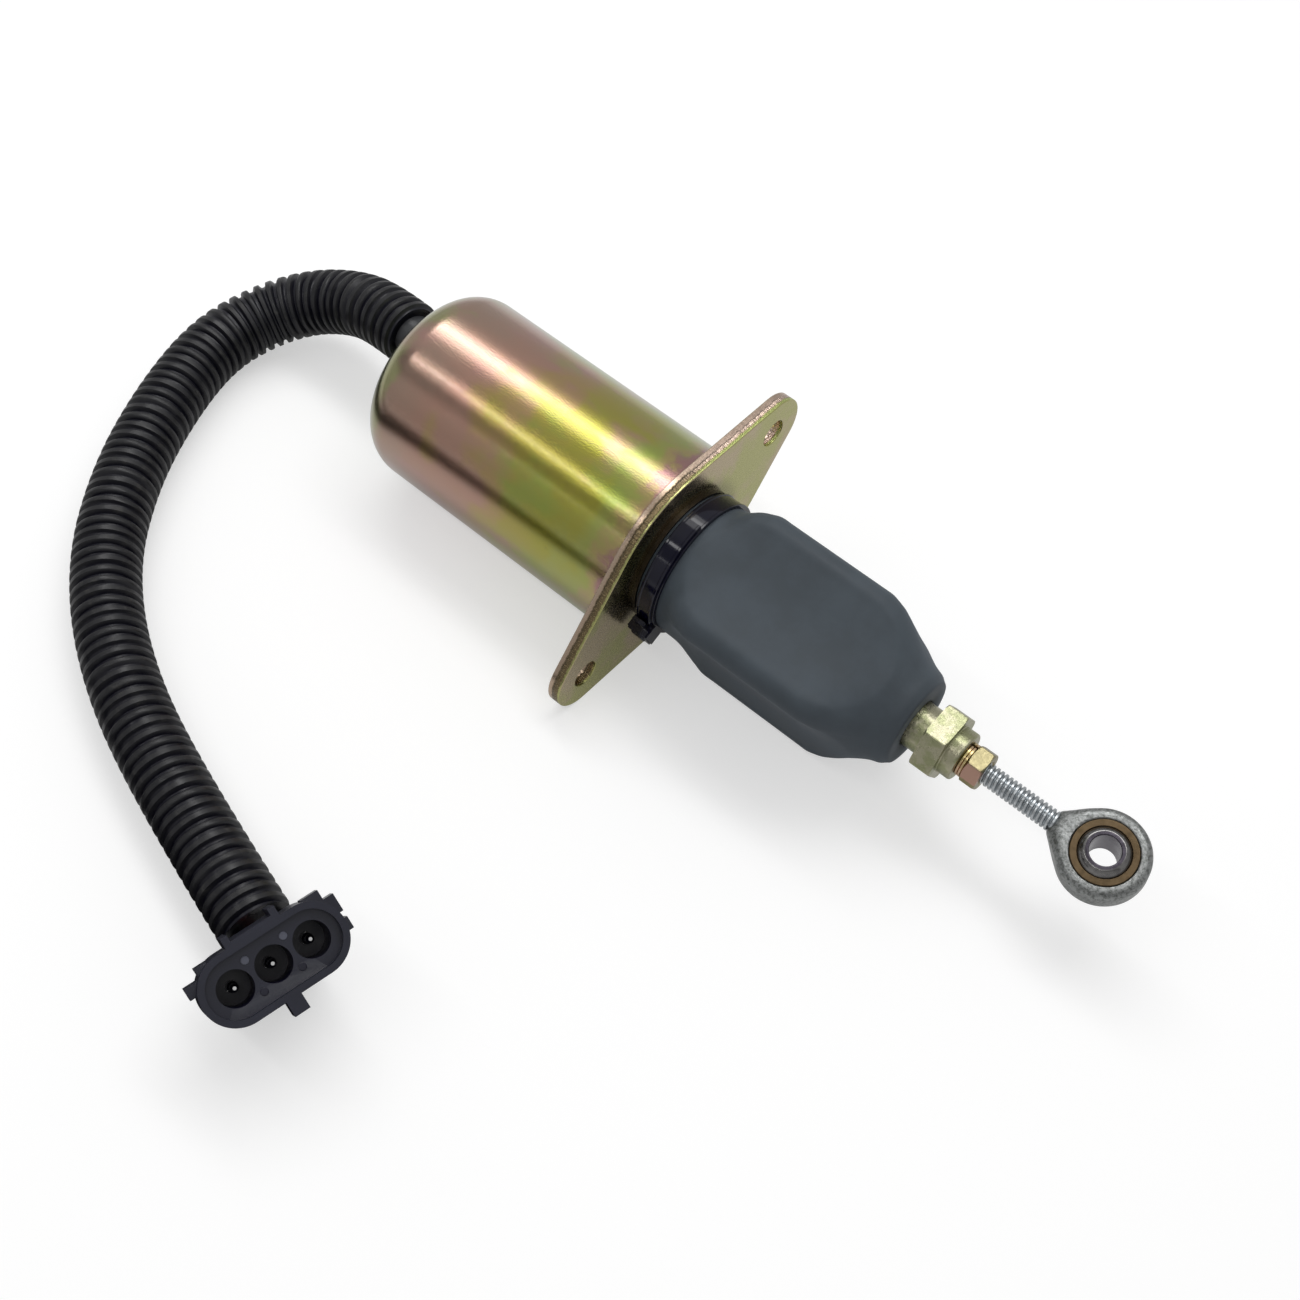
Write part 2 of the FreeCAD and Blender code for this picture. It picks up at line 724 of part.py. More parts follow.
def make_boot():
    # Rubber boot: a lofted shell with a long shallow dish in each of its four sides
    body = new_body("dust_boot")
    grip = dims.coupler_shank_radius + dims.boot_grip_gap
    ends = (dims.boot_neck_radius, dims.boot_lip_radius)
    outside = boot_sections(body, "boot_outer", NOTHING, ends)
    skin = body.newObject("PartDesign::AdditiveLoft", "boot_skin")
    skin.Profile = outside[0]
    skin.Sections = outside[1:]
    skin.Ruled = True
    inside = boot_sections(body, "boot_inner", dims.boot_wall,
                           (dims.hub_barrel_radius + dims.seat_gap, grip))
    hollow = body.newObject("PartDesign::SubtractiveLoft", "boot_hollow")
    hollow.Profile = inside[0]
    hollow.Sections = inside[1:]
    hollow.Ruled = True
    document.recompute()
    before = body.Shape.Volume
    along = dims.dish_length * dims.dish_length / (dims.dish_depth * 8)
    across = dims.dish_width * dims.dish_width / (dims.dish_depth * 8)
    middle = (dims.boot_shoulder + dims.boot_shoulder_end) / 2
    bottom = dims.boot_half_width - dims.dish_depth
    dish = new_sketch(body, "boot_dish", "XZ_Plane")
    dish.AttachmentOffset = FreeCAD.Placement(
        FreeCAD.Vector(0, number(bottom + across), 0), FreeCAD.Rotation())
    bind(dish, "AttachmentOffset.Base.y", bottom + across)
    reach = dims.dish_length / 2
    rim = across - dims.dish_depth
    draw_loop(dish, [
        (middle - reach, NOTHING), (middle - reach, -rim), (middle + reach, -rim),
        (middle + reach, NOTHING),
    ], {1: (along, 1)})
    scoop = revolve(body, dish, "boot_dish_cut", "PartDesign::Groove")
    around = body.newObject("PartDesign::PolarPattern", "boot_dishes")
    around.Originals = [scoop]
    around.Axis = ([item for item in body.Origin.OriginFeatures if item.Role == "X_Axis"][0], [""])
    around.Angle = 360
    around.Occurrences = 4
    body.Tip = around
    document.recompute()
    if body.Shape.Volume >= before:
        raise RuntimeError("the boot's dishes cut nothing")
    roll(body, dims.boot_roll)
    return body


def make_tie():
    # Cable tie drawn tight round the boot's neck, with its ratchet head
    inner = dims.boot_neck_radius + dims.seat_gap
    outer = inner + dims.tie_thickness
    tie_end = dims.tie_start + dims.tie_width
    body = turned("boot_tie", ring_profile(dims.tie_start, tie_end, inner, outer))
    head = new_sketch(body, "tie_head", "YZ_Plane", dims.tie_start - dims.tie_head_margin)
    half = dims.tie_head_length / 2
    low, high = inner + dims.tie_thickness / 2, inner + dims.tie_head_height
    draw_loop(head, [(low, -half), (high, -half), (high, half), (low, half)])
    pad(body, head, "tie_head_pad", dims.tie_width + dims.tie_head_margin * 2)
    roll(body, dims.tie_head_angle)
    return body


def make_grommet():
    # Rubber sleeve that carries the leads out through the can's closed end
    body = new_body("cable_grommet")
    sleeve = new_sketch(body, "grommet_profile", "XY_Plane")
    back = can_back - dims.grommet_length
    draw_loop(sleeve, [
        (back, dims.grommet_bore), (can_back + dims.can_wall, dims.grommet_bore),
        (can_back + dims.can_wall, dims.grommet_radius), (can_back, dims.grommet_radius),
        (can_back, dims.grommet_lip_radius), (can_back - dims.grommet_lip, dims.grommet_lip_radius),
        (can_back - dims.grommet_lip * 2, dims.grommet_radius), (back, dims.grommet_radius),
    ])
    revolve(body, sleeve, "grommet_turning")
    body.Placement.Base = FreeCAD.Vector(0, number(dims.exit_y), number(dims.exit_z))
    bind(body, "Placement.Base.y", dims.exit_y)
    bind(body, "Placement.Base.z", dims.exit_z)
    return body


BEND_SHARE = 0.45    # how much of the shorter run each bend takes
STRAIGHT_TURN = 0.001    # in radians; a smaller turn is left as a straight run
TUBE_TOLERANCE = 0.01


def rounded_route(points, name):
    # Straight runs joined by tangent arcs, each as large as its two runs allow
    points = [FreeCAD.Vector(*point) for point in points]
    edges = []
    at = points[0]
    radii = []
    length = 0.0
    for i in range(1, len(points) - 1):
        before = points[i] - points[i - 1]
        after = points[i + 1] - points[i]
        run = min(before.Length, after.Length)
        turn = before.getAngle(after)
        if turn < STRAIGHT_TURN:
            continue
        trim = BEND_SHARE * run
        radius = trim / math.tan(turn / 2)
        before.normalize()
        after.normalize()
        start = points[i] - before * trim
        end = points[i] + after * trim
        inward = (after - before).normalize()
        centre = points[i] + inward * (radius / math.cos(turn / 2))
        middle = centre - inward * radius
        edges.append(Part.LineSegment(at, start).toShape())
        edges.append(Part.Arc(start, middle, end).toShape())
        length += (start - at).Length + radius * turn
        radii.append(round(radius, 1))
        at = end
    edges.append(Part.LineSegment(at, points[-1]).toShape())
    length += (points[-1] - at).Length
    print(name, "radii", radii, "length", round(length, 1))
    return Part.Wire(edges), length


def tube(wire, start, ahead, radius):
    section = Part.Wire(Part.makeCircle(radius, start, ahead))
    return wire.makePipe(Part.Face(section))


def add_feature(label, shape):
    feature = document.addObject("Part::Feature", label)
    feature.Label = label
    feature.Shape = shape
    feature.Placement = FreeCAD.Placement()
    return feature


def check_tube(shape, area, length, name):
    share = shape.Volume / (area * length)
    print(name, "volume against section times length", round(share, 4))
    if abs(share - 1) > TUBE_TOLERANCE:
        raise RuntimeError(name + " is not a clean tube")


def make_conduit():
    # Split conduit as a plain hollow tube along its route
    wire, length = rounded_route(CONDUIT_ROUTE, "conduit")
    start = FreeCAD.Vector(*CONDUIT_ROUTE[0])
    ahead = FreeCAD.Vector(*CONDUIT_ROUTE[1]) - start
    outer, inner = number(dims.conduit_radius), number(dims.conduit_bore)
    shape = tube(wire, start, ahead, outer).cut(tube(wire, start, ahead, inner))
    check_tube(shape, math.pi * (outer ** 2 - inner ** 2), length, "conduit")
    return add_feature("conduit", shape)


def connector_placement():
    # The connector stands at the conduit's end with its face turned up
    azimuth = math.radians(number(dims.connector_azimuth))
    elevation = math.radians(number(dims.connector_elevation))
    out = FreeCAD.Vector(math.cos(elevation) * math.sin(azimuth),
                         -math.cos(elevation) * math.cos(azimuth), math.sin(elevation))
    level = FreeCAD.Vector(math.cos(azimuth), math.sin(azimuth), 0)
    turn = FreeCAD.Rotation(level, out.cross(level), out, "XYZ")
    twist = FreeCAD.Rotation(FreeCAD.Vector(0, 0, 1), number(dims.connector_twist))
    base = [number(size) for size in (dims.connector_x, dims.connector_y, dims.connector_z)]
    return FreeCAD.Placement(FreeCAD.Vector(*base), turn.multiply(twist))


CONNECTOR = connector_placement()
LEADS = ("lead_white", "lead_red", "lead_black")


def make_leads():
    # Three leads side by side in the conduit, then one to each cavity of the connector
    radius = number(dims.lead_radius)
    for i, label in enumerate(LEADS):
        step = FreeCAD.Vector(0, 0, (1 - i) * number(dims.lead_pitch))
        rise = FreeCAD.Vector(0, 0, (1 - i) * number(dims.lead_spread))
        mouth = FreeCAD.Vector(*CONDUIT_ROUTE[0]) + step
        route = [FreeCAD.Vector(number(board_back), mouth.y, mouth.z), mouth]
        route += [FreeCAD.Vector(*point) + rise for point in CONDUIT_ROUTE[1:-1]]
        row = (i - 1) * number(dims.cavity_pitch)
        fan = CONNECTOR.Rotation.multVec(FreeCAD.Vector(row * number(dims.lead_fan), 0, 0))
        route.append(FreeCAD.Vector(*CONDUIT_ROUTE[-1]) + fan)
        route += [CONNECTOR.multVec(FreeCAD.Vector(row, 0, number(connector_back - behind)))
                  for behind in (dims.lead_straight, -dims.lead_entry)]
        wire, length = rounded_route(route, label)
        shape = tube(wire, route[0], route[1] - route[0], radius)
        check_tube(shape, math.pi * radius ** 2, length, label)
        add_feature(label, shape)


def block(body, name, front, length, x0, x1, y0, y1):
    # A block on the connector, from its front station back by its length
    sketch = new_sketch(body, name, "XY_Plane", -(front + length))
    draw_loop(sketch, [(x0, y0), (x1, y0), (x1, y1), (x0, y1)])
    pad(body, sketch, name + "_pad", length)


def cavity_circles(body, name, lift, radius):
    # One circle on each cavity's centreline
    sketch = new_sketch(body, name, "XY_Plane", lift)
    for i in (-1, 0, 1):
        draw_circle(sketch, dims.cavity_pitch * i, NOTHING, radius)
    return sketch


def make_connector():
    # Three-way housing: rimmed shroud, narrower back, round cavities, lock tab, rail and lugs
    body = new_body("connector_housing")
    reach, tall = dims.connector_half_length, dims.connector_half_height
    step, rim, shroud = dims.shroud_step, dims.connector_rim, dims.shroud_depth
    outline = new_sketch(body, "shroud_outline", "XY_Plane", -shroud)
    draw_loop(outline, *stadium(reach, tall))
    pad(body, outline, "shroud_pad", shroud)
    rear = new_sketch(body, "rear_outline", "XY_Plane", connector_back)
    draw_loop(rear, *stadium(reach - step, tall - step))
    pad(body, rear, "rear_pad", dims.connector_depth - shroud)
    half, middle = dims.lock_tab_width / 2, dims.lock_tab_centre
    block(body, "lock_tab", NOTHING, dims.lock_tab_length, middle - half, middle + half,
          -(tall + dims.lock_tab_height), rim - tall)
    rail = tall + dims.rail_height
    block(body, "rail", NOTHING, shroud, dims.rail_start, dims.rail_end, tall - rim, rail)
    for side, x0, x1 in (("left", dims.rail_start, dims.rail_start + dims.rail_ear_width),
                         ("right", dims.rail_end - dims.rail_ear_width, dims.rail_end)):
        block(body, "rail_ear_" + side, NOTHING, shroud, x0, x1, tall, rail + dims.rail_ear_height)
    inner, far = dims.lug_inner, reach + dims.lug_overhang
    for name, x0, x1, y0, y1 in (
            ("left_lug", -far, inner - reach, inner, inner * 2),
            ("left_catch", inner - reach, inner * 2 - reach, inner, tall),
            ("right_lug", reach - inner, far, -inner, NOTHING),
            ("right_latch", reach - inner, far, inner / 2, inner * 2),
            ("right_catch", reach - inner * 2, reach - inner / 2, inner, tall)):
        block(body, name, dims.lug_back, dims.lug_length, x0, x1, y0, y1)
    face = new_sketch(body, "housing_recess", "XY_Plane")
    draw_loop(face, *stadium(reach - rim, tall - rim))
    cut_down(body, face, "housing_recess_cut", dims.connector_recess)
    holes = cavity_circles(body, "housing_cavities", -dims.connector_recess, dims.cavity_radius)
    cut_down(body, holes, "housing_cavity_cut", dims.cavity_depth - dims.connector_recess)
    seal_top = connector_back + dims.seal_length
    bores = cavity_circles(body, "housing_seal_bores", seal_top, dims.seal_radius)
    cut_down(body, bores, "housing_seal_cut", dims.seal_length)
    passages = cavity_circles(body, "housing_passages", NOTHING, dims.lead_radius)
    cut_through(body, passages, "housing_passage_cut")
    return body


def make_rear_lock():
    # Plate that clips under the housing's narrower back and steadies it on the floor
    body = new_body("connector_rear_lock")
    top = dims.connector_half_height - dims.shroud_step
    low, wide = top + dims.lock_clip_wall, dims.lock_clip_half_width
    plate = new_sketch(body, "clip_plate", "XY_Plane", connector_back - dims.lock_clip_tail)
    draw_loop(plate, [(-wide, -low), (wide, -low), (wide, -top), (-wide, -top)])
    length = dims.lock_clip_tail + dims.connector_depth - dims.shroud_depth
    pad(body, plate, "clip_plate_pad", length)
    return body


def make_contacts():
    # Pin contacts on the cavities' centrelines and the ribbed seals round the leads
    tail, tip = connector_back + dims.lead_entry, -dims.pin_tip_back
    root = dims.pin_root - dims.cavity_depth
    thick, thin = dims.lead_radius - dims.seat_gap, dims.pin_radius
    inner, outer = dims.lead_radius + dims.seat_gap, dims.seal_radius - dims.seat_gap
    seal_top = connector_back + dims.seal_length
    pitch = dims.seal_length / 5
    for i, name in ((-1, "left"), (0, "middle"), (1, "right")):
        pin = new_body("contact_pin_" + name)
        profile = new_sketch(pin, "pin_profile_" + name, "XZ_Plane")
        draw_loop(profile, [
            (NOTHING, tail), (thick, tail), (thick, root), (thin, root + dims.pin_taper),
            (thin, tip - dims.pin_taper), (dims.pin_nose_radius, tip), (NOTHING, tip),
        ])
        revolve(pin, profile, "pin_turning_" + name, axis="V_Axis")
        seal = new_body("wire_seal_" + name)
        section = new_sketch(seal, "seal_profile_" + name, "XZ_Plane")
        ribs = [(outer - dims.seal_rib if k % 2 == 0 else outer, connector_back + pitch * k)
                for k in range(6)]
        draw_loop(section, [(inner, connector_back)] + ribs + [(inner, seal_top)])
        revolve(seal, section, "seal_turning_" + name, axis="V_Axis")
        for body in (pin, seal):
            shift = FreeCAD.Vector(i * number(dims.cavity_pitch), 0, 0)
            body.Placement = CONNECTOR.multiply(FreeCAD.Placement(shift, FreeCAD.Rotation()))


def check_and_export():
    # Every object must have recomputed cleanly and every piece be one valid solid
    document.recompute()
    for thing in document.Objects:
        bad = [state for state in thing.State if state in ("Invalid", "Error")]
        if bad:
            raise RuntimeError(f"{thing.Name} is {bad}")
    pieces = [thing for thing in document.Objects
              if thing.TypeId in ("PartDesign::Body", "Part::Feature")]
    for piece in pieces:
        shape = piece.Shape
        if shape.isNull() or not shape.isValid() or len(shape.Solids) != 1:
            raise RuntimeError(f"{piece.Label} has no single valid solid")
    os.makedirs("parts", exist_ok=True)
    for piece in pieces:
        piece.Shape.exportStep(f"parts/{piece.Label}.step")
    print(len(pieces), "pieces written")


make_can()
make_flange()
make_hub()
make_magnet()
make_plunger()
make_coupler()
make_spring()
make_lock_washer()
make_nut()
make_rod_end()
make_bearing()
make_boot()
make_tie()
make_grommet()
make_conduit()
make_leads()
for connector_piece in (make_connector(), make_rear_lock()):
    connector_piece.Placement = CONNECTOR
make_contacts()
check_and_export()
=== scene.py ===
import bpy
import bmesh
import json
import math
from mathutils import Matrix, Quaternion, Vector


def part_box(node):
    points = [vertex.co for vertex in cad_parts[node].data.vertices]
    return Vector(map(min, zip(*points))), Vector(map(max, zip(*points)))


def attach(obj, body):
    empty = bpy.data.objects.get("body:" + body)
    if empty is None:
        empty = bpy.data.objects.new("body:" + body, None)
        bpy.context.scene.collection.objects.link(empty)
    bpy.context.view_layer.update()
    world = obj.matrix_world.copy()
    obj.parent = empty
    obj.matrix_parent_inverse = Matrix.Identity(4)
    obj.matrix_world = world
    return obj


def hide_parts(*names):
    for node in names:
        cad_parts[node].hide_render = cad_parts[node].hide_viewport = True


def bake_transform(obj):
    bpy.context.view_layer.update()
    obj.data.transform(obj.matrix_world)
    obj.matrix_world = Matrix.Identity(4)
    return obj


# Fuel shutoff solenoid: yellow zinc can and flange, rubber boot, rod end, corrugated lead and plug
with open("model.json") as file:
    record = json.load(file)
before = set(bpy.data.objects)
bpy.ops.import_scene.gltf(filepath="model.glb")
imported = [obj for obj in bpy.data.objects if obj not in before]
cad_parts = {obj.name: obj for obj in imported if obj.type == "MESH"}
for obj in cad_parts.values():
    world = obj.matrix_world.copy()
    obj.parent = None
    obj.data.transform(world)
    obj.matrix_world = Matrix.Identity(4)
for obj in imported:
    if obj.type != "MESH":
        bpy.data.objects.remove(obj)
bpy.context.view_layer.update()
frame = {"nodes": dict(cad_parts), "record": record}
millimetre = 0.001
bodyOfNode = {node: body for body, nodes in frame["record"]["behaviour"]["bodies"].items() for node in nodes}


# Camera

cameraView = {
    "position": (0.1415, -0.2157, 0.3200),
    "lookAt": (0.0121, -0.0242, 0.0),
    "rollDegrees": 8.0,
    "lens": 52.28,                # on a 36 mm sensor, square frame
    "sensor": 36.0,
}


def makeCamera():
    data = bpy.data.cameras.new("photoCamera")
    data.lens = cameraView["lens"]
    data.sensor_width = cameraView["sensor"]
    data.sensor_height = cameraView["sensor"]
    data.sensor_fit = "HORIZONTAL"
    data.clip_start = 0.01
    camera = bpy.data.objects.new("photoCamera", data)
    bpy.context.scene.collection.objects.link(camera)
    position = Vector(cameraView["position"])
    level = (Vector(cameraView["lookAt"]) - position).to_track_quat("-Z", "Y")
    roll = Quaternion((0, 0, 1), math.radians(cameraView["rollDegrees"]))
    camera.location = position
    camera.rotation_mode = "QUATERNION"
    camera.rotation_quaternion = level @ roll
    bpy.context.scene.camera = camera


makeCamera()
print("camera set")


# Mesh helpers: all of them take millimetres and leave the object at the origin

def addObject(name, data):
    piece = bpy.data.objects.new(name, data)
    bpy.context.scene.collection.objects.link(piece)
    return piece


def shadeSmooth(mesh, sharpDegrees):
    for polygon in mesh.polygons:
        polygon.use_smooth = True
    mesh.set_sharp_from_angle(angle=math.radians(sharpDegrees))


def placeForm(name, form, sharpDegrees=35.0):
    # Ends a bmesh that is in metres, and shows it as a piece
    mesh = bpy.data.meshes.new(name)
    form.to_mesh(mesh)
    form.free()
    shadeSmooth(mesh, sharpDegrees)
    return addObject(name, mesh)


def meshFrom(name, build, sharpDegrees=35.0):
    # build fills an empty bmesh with a closed form in millimetres
    form = bmesh.new()
    build(form)
    bmesh.ops.remove_doubles(form, verts=form.verts, dist=0.002)
    bmesh.ops.recalc_face_normals(form, faces=form.faces)
    bmesh.ops.scale(form, vec=(millimetre, millimetre, millimetre), verts=form.verts)
    return placeForm(name, form, sharpDegrees)


def joinRings(form, rings, closed=False):
    # Quads between each ring of points and the next, and from the last back to the first if closed
    made = [[form.verts.new(point) for point in ring] for ring in rings]
    pairs = list(zip(made, made[1:]))
    if closed:
        pairs.append((made[-1], made[0]))
    for first, second in pairs:
        count = len(first)
        for i in range(count):
            after = (i + 1) % count
            form.faces.new((first[i], first[after], second[after], second[i]))
    return made


def circleAbout(x, radius, segments, y=0.0, z=0.0):
    turns = [2 * math.pi * i / segments for i in range(segments)]
    return [Vector((x, y + radius * math.cos(t), z + radius * math.sin(t))) for t in turns]


def turnedForm(name, outline, segments=128, sharpDegrees=35.0):
    # A closed outline of (station, reach) about the X axis; a reach may be a function of the turn
    rings = []
    for x, reach in outline:
        ring = []
        for i in range(segments):
            turn = 2 * math.pi * i / segments
            out = reach(turn) if callable(reach) else reach
            ring.append(Vector((x, out * math.cos(turn), out * math.sin(turn))))
        rings.append(ring)
    return meshFrom(name, lambda form: joinRings(form, rings, closed=True), sharpDegrees)


def cornerArc(centreX, centreR, radius, startDegrees, endDegrees, steps=8):
    angles = [math.radians(startDegrees + (endDegrees - startDegrees) * i / steps) for i in range(steps + 1)]
    return [(centreX + radius * math.cos(a), centreR + radius * math.sin(a)) for a in angles]


def plainCopy(piece):
    # The modifiers' result as a plain mesh of its own
    evaluated = piece.evaluated_get(bpy.context.evaluated_depsgraph_get())
    mesh = bpy.data.meshes.new_from_object(evaluated)
    piece.modifiers.clear()
    piece.data = mesh
    return piece


def paintWhere(piece, finish, inside):
    # A second finish on the faces whose middle, in millimetres, passes the test
    piece.data.materials.append(finish)
    for polygon in piece.data.polygons:
        polygon.material_index = 1 if inside(polygon.center / millimetre) else 0


def solidForm(node):
    # The frame's own solid, with its loose triangles merged
    form = bmesh.new()
    form.from_mesh(frame["nodes"][node].data)
    bmesh.ops.remove_doubles(form, verts=form.verts, dist=0.000002)
    return form


def roundedCopy(node, name, width, segments=2, sharpDegrees=30.0):
    # The frame's own solid with its sharp edges rounded by the width, in millimetres
    form = solidForm(node)
    bmesh.ops.dissolve_limit(form, angle_limit=math.radians(1.0), verts=form.verts, edges=form.edges)
    piece = placeForm(name, form, sharpDegrees)
    bevel = piece.modifiers.new("roundedEdges", "BEVEL")
    bevel.width = width * millimetre
    bevel.segments = segments
    bevel.limit_method = "ANGLE"
    bevel.angle_limit = math.radians(sharpDegrees)
    bevel.harden_normals = True
    return plainCopy(piece)


def standFor(piece, node, finish):
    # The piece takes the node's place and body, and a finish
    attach(piece, bodyOfNode[node])
    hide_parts(node)
    piece.data.materials.clear()
    piece.data.materials.append(finish)


# Geometry Nodes helpers

def newTree(name, inputs):
    tree = bpy.data.node_groups.new(name, "GeometryNodeTree")
    tree.interface.new_socket("Geometry", in_out="INPUT", socket_type="NodeSocketGeometry")
    for label in inputs:
        tree.interface.new_socket(label, in_out="INPUT", socket_type="NodeSocketFloat")
    tree.interface.new_socket("Material", in_out="INPUT", socket_type="NodeSocketMaterial")
    tree.interface.new_socket("Geometry", in_out="OUTPUT", socket_type="NodeSocketGeometry")
    return tree, tree.nodes.new("NodeGroupInput"), tree.nodes.new("NodeGroupOutput")


def addNode(tree, kind, inputs=None, **settings):
    made = tree.nodes.new(kind)
    for key, value in settings.items():
        setattr(made, key, value)
    for key, value in (inputs or {}).items():
        if isinstance(value, bpy.types.NodeSocket):
            tree.links.new(value, made.inputs[key])
        else:
            made.inputs[key].default_value = value
    return made


def calc(tree, operation, first, second=0.0, third=0.0):
    made = addNode(tree, "ShaderNodeMath", {0: first, 1: second, 2: third}, operation=operation)
    return made.outputs[0]


def product(tree, first, second):
    return calc(tree, "MULTIPLY", first, second)


def difference(tree, first, second):
    return calc(tree, "SUBTRACT", first, second)


def endTree(tree, inlet, outlet, geometry):
    real = addNode(tree, "GeometryNodeRealizeInstances", {"Geometry": geometry})
    finished = addNode(tree, "GeometryNodeSetMaterial",
                       {"Geometry": real.outputs[0], "Material": inlet.outputs["Material"]})
    tree.links.new(finished.outputs[0], outlet.inputs[0])


def grown(name, tree, base, values, finish):
    # Runs the tree on a base mesh with its inputs set, and keeps the plain result
    piece = addObject(name, base)
    modifier = piece.modifiers.new(tree.name, "NODES")
    modifier.node_group = tree
    for item in tree.interface.items_tree:
        if item.in_out == "INPUT" and item.name in values:
            modifier[item.identifier] = values[item.name]
        if item.in_out == "INPUT" and item.name == "Material":
            modifier[item.identifier] = finish
    return plainCopy(piece)


# Material helpers: patterns lie on Object coordinates, which are metres here

def newFinish(name, sockets):
    finish = bpy.data.materials.new(name)
    finish.use_nodes = True
    shader = finish.node_tree.nodes["Principled BSDF"]
    for key, value in sockets.items():
        shader.inputs[key].default_value = value
    return finish, finish.node_tree, shader


def objectPoint(tree, scale=(1.0, 1.0, 1.0)):
    place = addNode(tree, "ShaderNodeTexCoord")
    return addNode(tree, "ShaderNodeMapping", {"Vector": place.outputs["Object"], "Scale": scale}).outputs[0]


def roundTurn(tree):
    # Turn about the X axis in radians, from +Y towards +Z
    place = addNode(tree, "ShaderNodeTexCoord")
    axes = addNode(tree, "ShaderNodeSeparateXYZ", {0: place.outputs["Object"]})
    return calc(tree, "ARCTAN2", axes.outputs[2], axes.outputs[1])


def roundAxisPoint(tree, alongScale, roundScale):
    # Coordinates wrapped round the X axis
    return addNode(tree, "ShaderNodeCombineXYZ", {
        0: product(tree, axisValue(tree, "X"), alongScale),
        1: product(tree, roundTurn(tree), roundScale),
    }).outputs[0]


def noise(tree, point, scale, detail=3.0, roughness=0.5):
    made = addNode(tree, "ShaderNodeTexNoise",
                   {"Vector": point, "Scale": scale, "Detail": detail, "Roughness": roughness})
    return made.outputs["Fac"]


def ramp(tree, factor, stops):
    made = addNode(tree, "ShaderNodeValToRGB", {0: factor})
    band = made.color_ramp
    band.interpolation = "EASE"
    while len(band.elements) < len(stops):
        band.elements.new(0.5)
    for element, (place, colour) in zip(band.elements, stops):
        element.position = place
        element.color = (*colour, 1.0)
    return made.outputs["Color"]


def spread(tree, factor, low, high, toLow=0.0, toHigh=1.0):
    made = addNode(tree, "ShaderNodeMapRange",
                   {0: factor, 1: low, 2: high, 3: toLow, 4: toHigh}, interpolation_type="SMOOTHSTEP")
    return made.outputs[0]


def blendColour(tree, factor, first, second):
    made = addNode(tree, "ShaderNodeMix", data_type="RGBA")
    for place, value in ((0, factor), (6, first), (7, second)):
        if isinstance(value, bpy.types.NodeSocket):
            tree.links.new(value, made.inputs[place])
        else:
            made.inputs[place].default_value = (*value, 1.0) if isinstance(value, tuple) else value
    return made.outputs[2]


def bump(tree, shader, height, strength, distance):
    # Distance is in millimetres
    before = shader.inputs["Normal"].links[0].from_socket if shader.inputs["Normal"].links else None
    made = addNode(tree, "ShaderNodeBump", {"Height": height, "Strength": strength,
                                            "Distance": distance * millimetre})
    if before:
        tree.links.new(before, made.inputs["Normal"])
    tree.links.new(made.outputs[0], shader.inputs["Normal"])


def axisValue(tree, axis):
    place = addNode(tree, "ShaderNodeTexCoord")
    return addNode(tree, "ShaderNodeSeparateXYZ", {0: place.outputs["Object"]}).outputs["XYZ".index(axis)]


def rareSpots(tree, point, scale, core, rim, share, channel):
    # Round spots, from a full core to a soft rim, in a share of a pattern's cells
    cells = addNode(tree, "ShaderNodeTexVoronoi", {"Vector": point, "Scale": scale})
    spot = spread(tree, cells.outputs["Distance"], core, rim, 1.0, 0.0)
    draws = addNode(tree, "ShaderNodeSeparateColor", {0: cells.outputs["Color"]})
    chosen = calc(tree, "GREATER_THAN", draws.outputs[channel], 1.0 - share)
    return product(tree, spot, chosen)


# Finishes

canColours = {
    # chromate tints by station, from the closed end to the flange
    "tints": [
        (0.00, (0.30, 0.35, 0.13)), (0.07, (0.36, 0.35, 0.16)), (0.14, (0.42, 0.28, 0.21)),
        (0.34, (0.46, 0.27, 0.20)), (0.44, (0.44, 0.30, 0.13)), (0.55, (0.40, 0.34, 0.07)),
        (0.78, (0.38, 0.36, 0.05)), (0.90, (0.36, 0.38, 0.09)), (0.945, (0.42, 0.33, 0.13)),
        (0.985, (0.38, 0.20, 0.19)),
    ],
    "back": -0.077,               # where the tints start, and over what length, in metres
    "length": 0.0742,
    "coat": 0.8,
    "coatRoughness": 0.14,
    "patchScale": 34.0,
    "patchShift": 0.85,
    "fineShift": 0.22,
    # painted reflection: the green sheen at grazing view along the far side
    "grazingGreenReflection": (0.33, 0.44, 0.17),
    "mauve": (0.47, 0.26, 0.23),
    "mauveScale": 78.0,
    "greenCloud": (0.30, 0.40, 0.07),
    "greenScale": 92.0,
    "grazingGreenFrom": 30.0,            # degrees round from +Y towards +Z
    "grazingGreenTo": 62.0,
    "cloudScale": 70.0,
    "drawn": (0.55, 1.0, 1.0),    # the clouds are pulled long, as the cup was
    "pitScale": 105.0,
    "pitShare": 0.22,
    "pitColour": (0.10, 0.05, 0.02),
    "fleckAlong": 2300.0,
    "fleckRound": 56.0,
}


